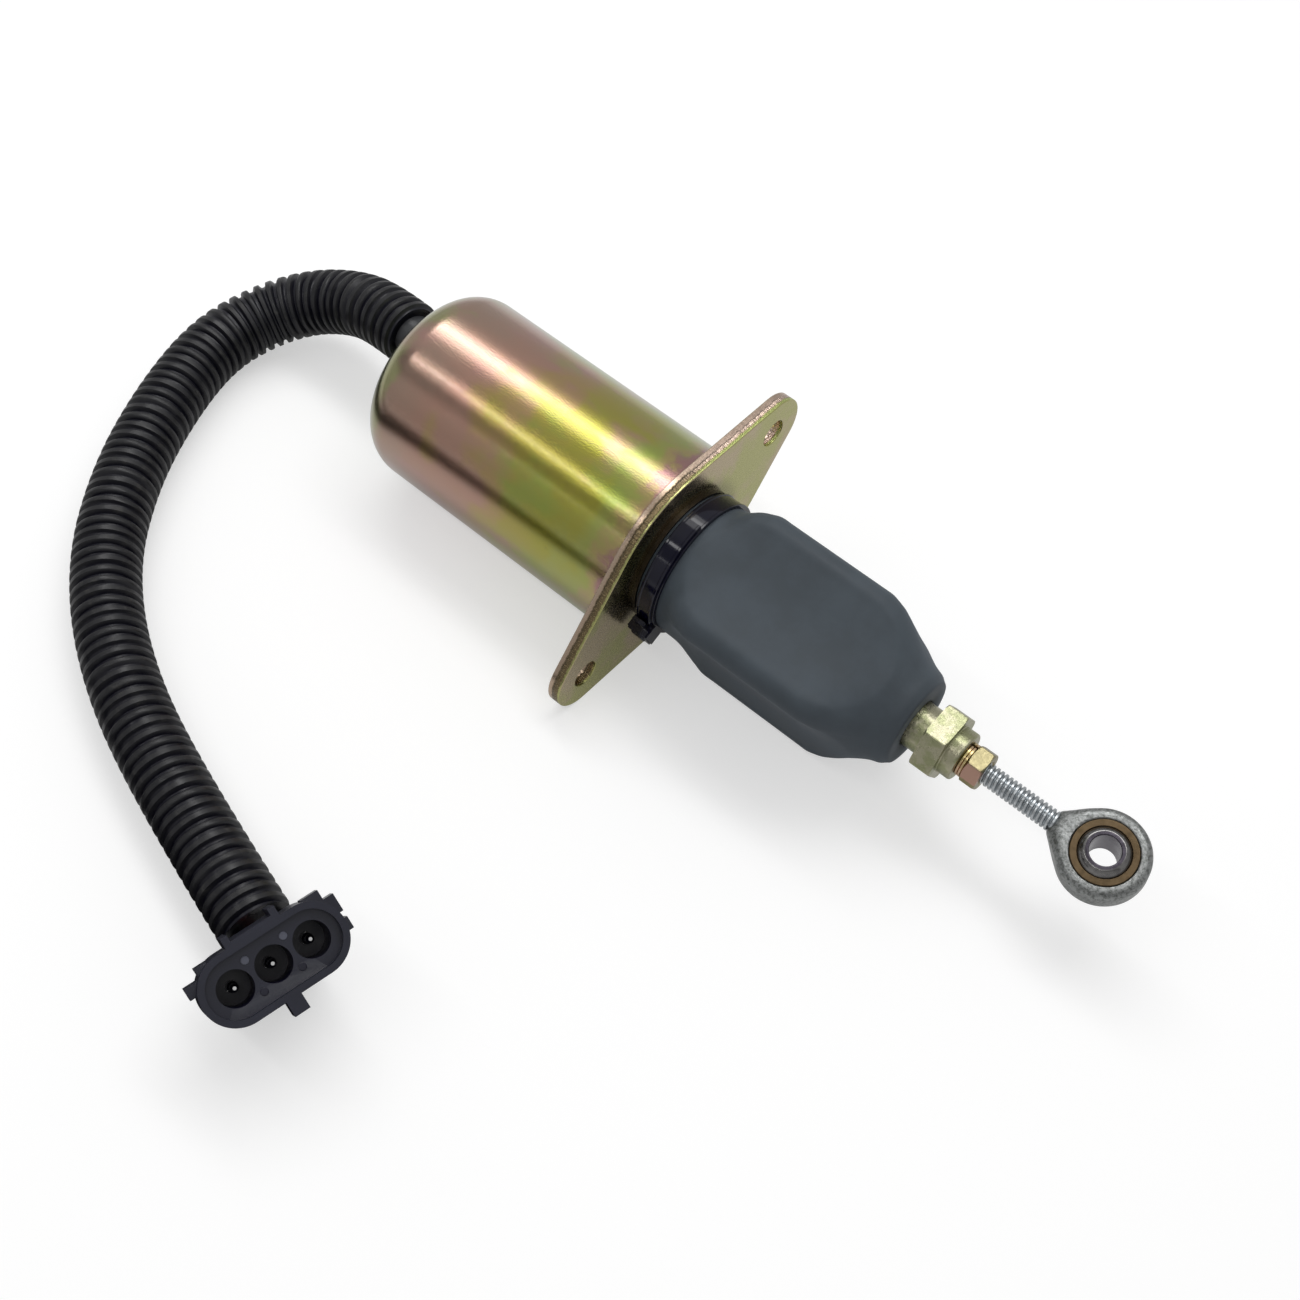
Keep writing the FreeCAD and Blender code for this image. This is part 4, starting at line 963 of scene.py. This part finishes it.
bootShape = {
    "stations": [
        # station, reach at the middle of a side, reach at a corner
        (1.0, 15.5, 15.5), (6.0, 15.5, 15.5), (9.0, 15.8, 16.5), (13.0, 16.9, 19.6), (17.2, 17.5, 21.4),
        (46.5, 17.5, 21.4), (50.0, 16.9, 20.2), (53.0, 15.8, 18.2), (56.0, 14.2, 15.6), (58.5, 12.8, 13.4),
        (60.4, 11.8, 12.0), (62.2, 11.3, 11.3), (63.3, 10.8, 10.8), (64.0, 9.6, 9.6),
    ],
    "easing": 0.9,                # length over which a change of slope is rounded
    "rollDegrees": 22.8,
    "halfWidth": 16.6,
    "sideRadius": 66.4,
    "cornerRadius": 5.5,
    "wall": 2.2,
    "neckBore": 13.45,
    "neckDepth": 7.0,             # station where the neck's bore ends
    "hollow": (58.6, 8.0),        # stations between which the wall has its thickness
    "lipRadius": 8.8,
    "gripRadius": 5.5,
    "gripEdge": 0.3,
    "gripLength": 3.6,
    "dishCentre": 32.5,
    "dishRun": 11.5,
    "dishHalfWidth": 12.9,
    "dishDepth": 2.5,
    "dishSoftness": 0.003,
    "rings": 150,
    "innerRings": 40,
    "segments": 256,
}


def reachAt(x, column):
    # Listed reach at a station, with its changes of slope rounded
    places = [(row[0], row[column]) for row in bootShape["stations"]]
    total = 0.0
    offsets = [bootShape["easing"] * (i - 3) / 3 for i in range(7)]
    for offset in offsets:
        at = min(max(x + offset, places[0][0]), places[-1][0])
        for (x0, v0), (x1, v1) in zip(places, places[1:]):
            if x0 <= at <= x1:
                total += v0 + (v1 - v0) * (at - x0) / (x1 - x0)
                break
    return total / len(offsets)


def squareReach(folded):
    # Four-sided section: bulged sides and round corners, by the turn from a side's middle
    half, side, corner = bootShape["halfWidth"], bootShape["sideRadius"], bootShape["cornerRadius"]
    flat = half - corner
    back = math.sqrt(side * side - flat * flat) - half
    if math.tan(folded) <= flat / half:
        return math.sqrt(side ** 2 - (back * math.sin(folded)) ** 2) - back * math.cos(folded)
    off, centre = folded - math.pi / 4, flat * math.sqrt(2)
    return centre * math.cos(off) + math.sqrt(corner ** 2 - (centre * math.sin(off)) ** 2)


def bootReach(x, turn):
    folded = abs((turn + math.pi / 4) % (math.pi / 2) - math.pi / 4)
    middle, corner = reachAt(x, 1), reachAt(x, 2)
    low, high = squareReach(0.0), squareReach(math.pi / 4)
    reach = middle + (corner - middle) * (squareReach(folded) - low) / (high - low)
    beyond = max(abs(x - bootShape["dishCentre"]) - bootShape["dishRun"], 0.0)
    away = math.hypot(beyond, reach * math.sin(folded)) / bootShape["dishHalfWidth"]
    inside, soft = 1 - away * away, bootShape["dishSoftness"]
    dish = bootShape["dishDepth"] * (inside + math.sqrt(inside * inside + soft)) / 2
    return reach - dish / math.cos(folded)


def makeBoot():
    stations, segments = bootShape["stations"], bootShape["segments"]
    first, last = stations[0][0], stations[-1][0]
    roll = math.radians(bootShape["rollDegrees"])
    turns = [2 * math.pi * i / segments for i in range(segments)]

    def ring(x, thinner=0.0, fixed=None):
        made = []
        for turn in turns:
            reach = fixed if fixed else bootReach(x, turn) - thinner
            made.append(Vector((x, reach * math.cos(turn + roll), reach * math.sin(turn + roll))))
        return made
    # outside from the neck to the lip, then the grip on the shank, the hollow and the neck's bore
    count, grip, edge = bootShape["rings"], bootShape["gripRadius"], bootShape["gripEdge"]
    rings = [ring(first + (last - first) * i / count) for i in range(count + 1)]
    rings += [ring(last, fixed=bootShape["lipRadius"]), ring(last, fixed=grip + edge)]
    rings += [ring(last - edge, fixed=grip), ring(last - bootShape["gripLength"], fixed=grip)]
    inner, (front, back) = bootShape["innerRings"], bootShape["hollow"]
    rings += [ring(front - (front - back) * i / inner, bootShape["wall"]) for i in range(inner + 1)]
    rings += [ring(x, fixed=bootShape["neckBore"]) for x in (bootShape["neckDepth"], first)]
    piece = meshFrom("dustBoot", lambda form: joinRings(form, rings, closed=True), 70.0)
    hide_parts("dust_boot")
    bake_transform(piece)
    return piece


def makeBootFinish():
    # Matte blue-grey rubber with a slight bloom at grazing view
    finish, tree, shader = makeMouldedFinish(
        "bootRubber", (0.058, 0.072, 0.086), (0.56, 0.68), 1700.0, 0.22, 0.03, dust=0.035, specular=0.35)
    shader.inputs["Sheen Weight"].default_value = 0.08
    shader.inputs["Sheen Roughness"].default_value = 0.45
    shader.inputs["Sheen Tint"].default_value = (0.75, 0.85, 1.0, 1.0)
    return finish


boot = makeBoot()
boot.data.materials.append(makeBootFinish())


def makeSpring():
    piece = placeForm("returnSpringWire", solidForm("return_spring"), 60.0)
    piece.data.materials.append(springFinish)
    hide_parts("return_spring")
    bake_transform(piece)


makeSpring()
print("boot and spring made")


# Coupler, washer and nut

couplerShape = {
    "back": 53.5,
    "hexBack": 68.0,
    "hexFront": 73.1,
    "front": 76.3,
    "shankRadius": 5.3,
    "collarRadius": 5.6,
    "acrossFlats": 14.4,
    "firstCorner": 127.0,
    "tipCut": 0.42,
    "shankEdge": 0.3,
    "shankFillet": (0.25, 0.2),   # along the shank and outwards, at the hexagon
    "collarFillet": (0.2, 0.15),
    "collarEdge": 0.55,
    "mouth": (3.5, 2.9, 0.6),     # countersink: outer and inner radius, depth
    "studBore": 3.02,
    "threadBore": 2.46,
    "boreStep": 70.0,
}
washerShape = {
    "back": 76.36,
    "front": 77.75,
    "radius": 3.88,
    "bore": 2.5,
    "edge": 0.16,
    "groove": (0.12, 0.3),        # half its width, and its depth
    "slitDegrees": (76.0, 424.0),
}
nutShape = {
    "back": 77.85,
    "front": 81.6,
    "acrossFlats": 8.25,
    "firstCorner": 129.0,
    "tipCut": 0.02,
    "mouth": (2.9, 0.45),         # countersink: outer radius, depth
    "bore": 2.46,
}
hexagonShape = {
    "cornerPower": 120,           # a higher power makes the corners sharper
    "turnedDegrees": 60,
    "turnedSteps": (0.0, 0.06, 0.15, 0.28, 0.42, 0.6, 0.85),
}


def hexReach(acrossFlats, firstCorner, limit):
    # Reach of a hexagon with slightly round corners, cut back to a limit
    power = hexagonShape["cornerPower"]

    def reach(turn):
        total = limit ** -power
        for k in range(6):
            facing = math.cos(turn - math.radians(firstCorner + 30 + 60 * k))
            total += (max(facing, 0.0) * 2 / acrossFlats) ** power
        return total ** (-1 / power)
    return reach


def hexRings(back, front, acrossFlats, firstCorner, start):
    # A hexagon whose corners are turned off at both ends, from a start radius at each end
    slope = math.tan(math.radians(hexagonShape["turnedDegrees"]))
    steps = hexagonShape["turnedSteps"]
    limits = [(step, hexReach(acrossFlats, firstCorner, start + step * slope)) for step in steps]
    rings = [(back + step, reach) for step, reach in limits]
    return rings + [(front - step, reach) for step, reach in reversed(limits)]


def makeCoupler():
    size = couplerShape
    back, front, hexBack, hexFront = size["back"], size["front"], size["hexBack"], size["hexFront"]
    shank, collar = size["shankRadius"], size["collarRadius"]
    tip = size["acrossFlats"] / math.sqrt(3) - size["tipCut"]
    edge, (along, out) = size["shankEdge"], size["shankFillet"]
    outline = [(back, size["studBore"]), (back, shank - edge), (back + edge, shank),
               (hexBack - along, shank), (hexBack, shank + out)]
    outline += hexRings(hexBack, hexFront, size["acrossFlats"], size["firstCorner"], tip)
    along, out = size["collarFillet"]
    outline += [(hexFront, collar + out), (hexFront + along, collar)]
    edge, (wide, narrow, depth) = size["collarEdge"], size["mouth"]
    outline += cornerArc(front - edge, collar - edge, edge, 90, 0, 6)
    outline += [(front, wide), (front - depth, narrow), (front - depth, size["threadBore"]),
                (size["boreStep"], size["threadBore"]), (size["boreStep"], size["studBore"])]
    piece = turnedForm("hexCoupler", outline, 288, 28.0)
    standFor(piece, "hex_coupler", couplerFinish)


def makeWasher():
    size = washerShape
    back, front, radius, edge = size["back"], size["front"], size["radius"], size["edge"]
    middle, (half, depth) = (back + front) / 2, size["groove"]
    profile = [(back, size["bore"]), (back, radius - edge), (back + edge, radius),
               (middle - half, radius), (middle, radius - depth), (middle + half, radius),
               (front - edge, radius), (front, radius - edge), (front, size["bore"])]
    first, last = size["slitDegrees"]
    piece = meshFrom("splitWasher", lambda form: sweepRound(form, profile, first, last, 120))
    standFor(piece, "lock_washer", washerFinish)


def makeNut():
    size = nutShape
    start = size["acrossFlats"] / 2 - size["tipCut"]
    wide, depth = size["mouth"]
    outline = [(size["back"], size["bore"])]
    outline += hexRings(size["back"], size["front"], size["acrossFlats"], size["firstCorner"], start)
    outline += [(size["front"], wide), (size["front"] - depth, size["bore"])]
    piece = turnedForm("jamNut", outline, 288, 28.0)
    standFor(piece, "jam_nut", nutFinish)


makeCoupler()
makeWasher()
makeNut()


# Rod end: threaded shank, and a teardrop eye round the race

threadShape = {
    "start": 70.9,
    "end": 98.9,
    "crestRadius": 2.415,
    "rootRadius": 1.86,
    "pitch": 1.06,
    "crestShare": 0.36,
    "rows": 560,
    "sides": 40,
}
eyeShape = {
    "reach": 110.0,
    "radius": 9.525,
    "halfWidth": 3.57,
    "rounding": 1.75,
    "seatRadius": 6.9,
    "seatChamfer": 0.3,
    "flankDegrees": 39.0,
    "neckReach": 12.0,
    "neckHalf": 2.5,
    "taper": (7.0, 4.6),          # towards the shank: where the flats start to come down, and the run
    "softening": (8.0, 3.0, 0.5), # the same for the edge's extra rounding, and how much it is
    "rollDegrees": 17.2,
    "boreTintRadius": 3.4,
    "edgeSteps": 6,
    "flatSteps": 5,
    "segments": 240,
}


def threadTree():
    # A grid wrapped into a bar whose radius follows the thread's flanks along a helix
    tree, inlet, outlet = newTree("threadedBar", ["Start", "Length", "Crest Radius", "Root Radius", "Pitch",
                                                  "Crest Share", "Rows", "Sides"])
    size = inlet.outputs
    grid = addNode(tree, "GeometryNodeMeshGrid", {"Size X": 1.0, "Size Y": 2 * math.pi,
                                                  "Vertices X": size["Rows"], "Vertices Y": size["Sides"]})
    point = addNode(tree, "GeometryNodeInputPosition")
    place = addNode(tree, "ShaderNodeSeparateXYZ", {0: point.outputs[0]})
    turn = place.outputs[1]
    share = calc(tree, "ADD", place.outputs[0], 0.5)
    station = calc(tree, "MULTIPLY_ADD", share, size["Length"], size["Start"])
    lead = difference(tree, calc(tree, "DIVIDE", station, size["Pitch"]),
                      calc(tree, "DIVIDE", turn, 2 * math.pi))
    phase = difference(tree, calc(tree, "FRACT", lead), 0.5)
    away = product(tree, calc(tree, "ABSOLUTE", phase), 2.0)
    flank = spread(tree, away, 1.0, size["Crest Share"])
    relief = difference(tree, size["Crest Radius"], size["Root Radius"])
    radius = calc(tree, "MULTIPLY_ADD", relief, flank, size["Root Radius"])
    wrapped = addNode(tree, "ShaderNodeCombineXYZ", {
        0: station,
        1: product(tree, radius, calc(tree, "COSINE", turn)),
        2: product(tree, radius, calc(tree, "SINE", turn)),
    })
    moved = addNode(tree, "GeometryNodeSetPosition",
                    {"Geometry": grid.outputs[0], "Position": wrapped.outputs[0]})
    merged = addNode(tree, "GeometryNodeMergeByDistance",
                     {"Geometry": moved.outputs[0], "Distance": 0.000004})
    endTree(tree, inlet, outlet, merged.outputs[0])
    return tree


def makeThread():
    values = {"Start": threadShape["start"] * millimetre,
              "Length": (threadShape["end"] - threadShape["start"]) * millimetre,
              "Crest Radius": threadShape["crestRadius"] * millimetre,
              "Root Radius": threadShape["rootRadius"] * millimetre,
              "Pitch": threadShape["pitch"] * millimetre, "Crest Share": threadShape["crestShare"],
              "Rows": float(threadShape["rows"]), "Sides": float(threadShape["sides"])}
    piece = grown("rodEndThread", threadTree(), bpy.data.meshes.new("threadBase"), values, shankFinish)
    form = bmesh.new()
    form.from_mesh(piece.data)
    bmesh.ops.holes_fill(form, edges=[edge for edge in form.edges if edge.is_boundary], sides=0)
    bmesh.ops.recalc_face_normals(form, faces=form.faces)
    form.to_mesh(piece.data)
    form.free()
    shadeSmooth(piece.data, 40.0)
    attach(piece, "plunger")


def eyeOutline(turn):
    # Reach of the teardrop from the eye's centre; turn is measured from +X
    radius, flank = eyeShape["radius"], math.radians(90 + eyeShape["flankDegrees"])
    folded = abs((turn + math.pi) % (2 * math.pi) - math.pi)
    if folded <= flank:
        return radius
    side = radius / math.cos(folded - flank)
    neck = eyeShape["neckReach"] / math.cos(math.pi - folded)
    return -math.log(math.exp(-side * 4) + math.exp(-neck * 4)) / 4


def makeRodEnd():
    reach, width, count = eyeShape["reach"], eyeShape["halfWidth"], eyeShape["segments"]
    seat, chamfer = eyeShape["seatRadius"], eyeShape["seatChamfer"]
    turns = [2 * math.pi * (i + 0.5) / count for i in range(count)]
    roll = Matrix.Rotation(math.radians(eyeShape["rollDegrees"]), 4, "X")
    outline = [Vector((math.cos(t), math.sin(t), 0)) * eyeOutline(t) for t in turns]

    def height(x):
        # The flats come down to the neck's thickness towards the shank
        start, run = eyeShape["taper"]
        share = min(max((-x - start) / run, 0.0), 1.0)
        return width + (eyeShape["neckHalf"] - width) * share * share * (3 - 2 * share)

    def ring(inward, share, sign):
        # share runs from 0 at the edge's side to 1 at the flat
        made = []
        start, run, extra = eyeShape["softening"]
        angle = share * math.pi / 2
        for i, point in enumerate(outline):
            along = (outline[(i + 1) % count] - outline[i - 1]).normalized()
            out = Vector((along.y, -along.x, 0))
            rounding = eyeShape["rounding"] + extra * min(max((-point.x - start) / run, 0.0), 1.0)
            place = point - out * rounding * (1 - math.cos(angle))
            place = place.lerp(point.normalized() * (seat + chamfer), inward)
            level = height(place.x) - rounding * (1 - math.sin(angle))
            made.append(roll @ Vector((reach + place.x, place.y, sign * level)))
        return made

    def bore(radius, level):
        return [roll @ Vector((reach + radius * math.cos(t), radius * math.sin(t), level)) for t in turns]
    edges, flats = eyeShape["edgeSteps"], eyeShape["flatSteps"]
    rings = [ring(0.0, i / edges, 1) for i in range(edges + 1)]
    rings += [ring(i / flats, 1.0, 1) for i in range(1, flats + 1)]
    rings += [bore(seat, width - chamfer), bore(seat, chamfer - width)]
    rings += [ring(i / flats, 1.0, -1) for i in range(flats, 0, -1)]
    rings += [ring(0.0, i / edges, -1) for i in range(edges, -1, -1)]
    piece = meshFrom("rodEndEye", lambda form: joinRings(form, rings, closed=True), 50.0)
    standFor(piece, "rod_end", castFinish)


makeThread()
makeRodEnd()


def makeBall():
    # The ball keeps its solid; its bore takes a darker finish than its faces
    piece = roundedCopy("rod_end_ball", "rodEndBall", 0.25, 3)
    standFor(piece, "rod_end_ball", ballFinish)
    level = Matrix.Rotation(math.radians(-eyeShape["rollDegrees"]), 4, "X")

    def inBore(point):
        place = level @ point
        return math.hypot(place.x - eyeShape["reach"], place.y) < eyeShape["boreTintRadius"]
    paintWhere(piece, boreFinish, inBore)


makeBall()
standFor(roundedCopy("rod_end_race", "rodEndRace", 0.2), "rod_end_race", bronzeFinish)
print("hardware and rod end made")


# The other solids keep their form and take a finish

keptFinishes = {
    "front_hub": hubSteelAndShadeFinish, "guide_tube": tubeFinish, "pole_piece": ironFinish, "plunger": ironFinish,
    "coil_bobbin": bobbinFinish, "pull_winding": copperFinish, "hold_winding": copperFinish,
    "winding_wrap": tapeFinish, "rear_flux_washer": ironFinish, "terminal_board": boardFinish,
    "plunger_stud": shankFinish, "spring_seat": shankFinish, "cable_grommet": grommetFinish,
}
for side in ("left", "middle", "right"):
    keptFinishes["wire_seal_" + side] = sealFinish
    keptFinishes["contact_pin_" + side] = contactFinish
for node, finish in keptFinishes.items():
    solid = frame["nodes"][node]
    for slot in solid.material_slots:
        slot.material = finish
print("kept solids finished")


# Floor, lights and world

studio = {
    "floorLevel": -23.8,
    "floorSize": 3.0,
    "mirrorShare": 0.3,           # share of the glow that reflections see
    "floorColour": 0.58,
    "floorGlow": 0.50,            # lifts the bare floor to white for the camera
    # brightness of the surroundings by their turn from +Y over +Z to -Y, in degrees
    "surroundings": [(0, 0.50), (100, 0.55), (124, 0.25), (140, 0.25), (150, 0.50), (180, 0.42)],
    # strip lights: name, direction by the same turn, distance, length and width in metres, brightness
    "strips": [
        ("mainBox", 72.5, 0.70, 0.95, 0.30, 1.9),
        ("mainCore", 71.0, 0.69, 0.95, 0.10, 3.0),
        ("secondStrip", 120.0, 0.75, 0.90, 0.055, 5.0),
        ("thirdStrip", 145.5, 0.80, 0.50, 0.010, 4.0),
    ],
    "stripShift": -0.20,
    # black cards on the floor, seen only in reflections: low and high corner in millimetres
    "cards": [((-700.0, -215.0), (60.0, -120.0))],
    "cardLift": 0.4,
}


def addSheet(name, low, high, level, finish):
    # A level sheet of the studio between two corners, in metres
    (x0, y0), (x1, y1) = low, high
    mesh = bpy.data.meshes.new(name)
    mesh.from_pydata([(x, y, level) for x, y in ((x0, y0), (x1, y0), (x1, y1), (x0, y1))],
                     [], [(0, 1, 2, 3)])
    mesh.materials.append(finish)
    sheet = addObject(name, mesh)
    return sheet


def makeFloor():
    half, white = studio["floorSize"] / 2, studio["floorColour"]
    finish, tree, shader = newFinish("floorPaint", {
        "Base Color": (white, white, white, 1.0), "Roughness": 0.9, "Specular IOR Level": 0.1})
    rays = addNode(tree, "ShaderNodeLightPath")
    shader.inputs["Emission Color"].default_value = (1, 1, 1, 1)
    seen = calc(tree, "MULTIPLY_ADD", rays.outputs["Is Glossy Ray"], studio["mirrorShare"],
                rays.outputs["Is Camera Ray"])
    tree.links.new(product(tree, seen, studio["floorGlow"]), shader.inputs["Emission Strength"])
    addSheet("studioFloor", (-half, -half), (half, half), studio["floorLevel"] * millimetre, finish)


def makeCards():
    black = newFinish("cardBlack", {"Base Color": (0.01, 0.01, 0.01, 1.0), "Roughness": 0.9})[0]
    level = (studio["floorLevel"] + studio["cardLift"]) * millimetre
    for i, (low, high) in enumerate(studio["cards"]):
        card = addSheet(f"card{i}", Vector(low) * millimetre, Vector(high) * millimetre, level, black)
        card.visible_camera = False
        card.visible_shadow = False
        card.visible_diffuse = False


def makeStrips():
    side = Vector((1.0, 0.0, 0.0))
    for name, degrees, distance, length, width, level in studio["strips"]:
        light = bpy.data.lights.new(name, "AREA")
        light.shape = "RECTANGLE"
        light.size = length
        light.size_y = width
        light.energy = level * math.pi * length * width
        lamp = addObject(name, light)
        turn = math.radians(degrees)
        away = Vector((0.0, math.cos(turn), math.sin(turn)))
        lamp.location = away * distance + side * studio["stripShift"]
        lamp.rotation_mode = "QUATERNION"
        lamp.rotation_quaternion = Matrix((side, away.cross(side), away)).transposed().to_quaternion()


def makeWorld():
    world = bpy.data.worlds.new("studio")
    bpy.context.scene.world = world
    world.use_nodes = True
    tree = world.node_tree
    backdrop = tree.nodes["Background"]
    place = addNode(tree, "ShaderNodeTexCoord")
    axes = addNode(tree, "ShaderNodeSeparateXYZ", {0: place.outputs["Generated"]})
    turn = calc(tree, "DIVIDE", calc(tree, "ARCTAN2", axes.outputs[2], axes.outputs[1]), math.pi)
    stops = [(degrees / 180, (level, level, level)) for degrees, level in studio["surroundings"]]
    around = ramp(tree, turn, stops)
    seen = addNode(tree, "ShaderNodeLightPath").outputs["Is Camera Ray"]
    tree.links.new(blendColour(tree, seen, around, (1.0, 1.0, 1.0)), backdrop.inputs["Color"])
    backdrop.inputs["Strength"].default_value = 1.0


makeFloor()
makeCards()
makeStrips()
makeWorld()
bpy.context.scene.view_settings.view_transform = "Standard"
print("studio set")
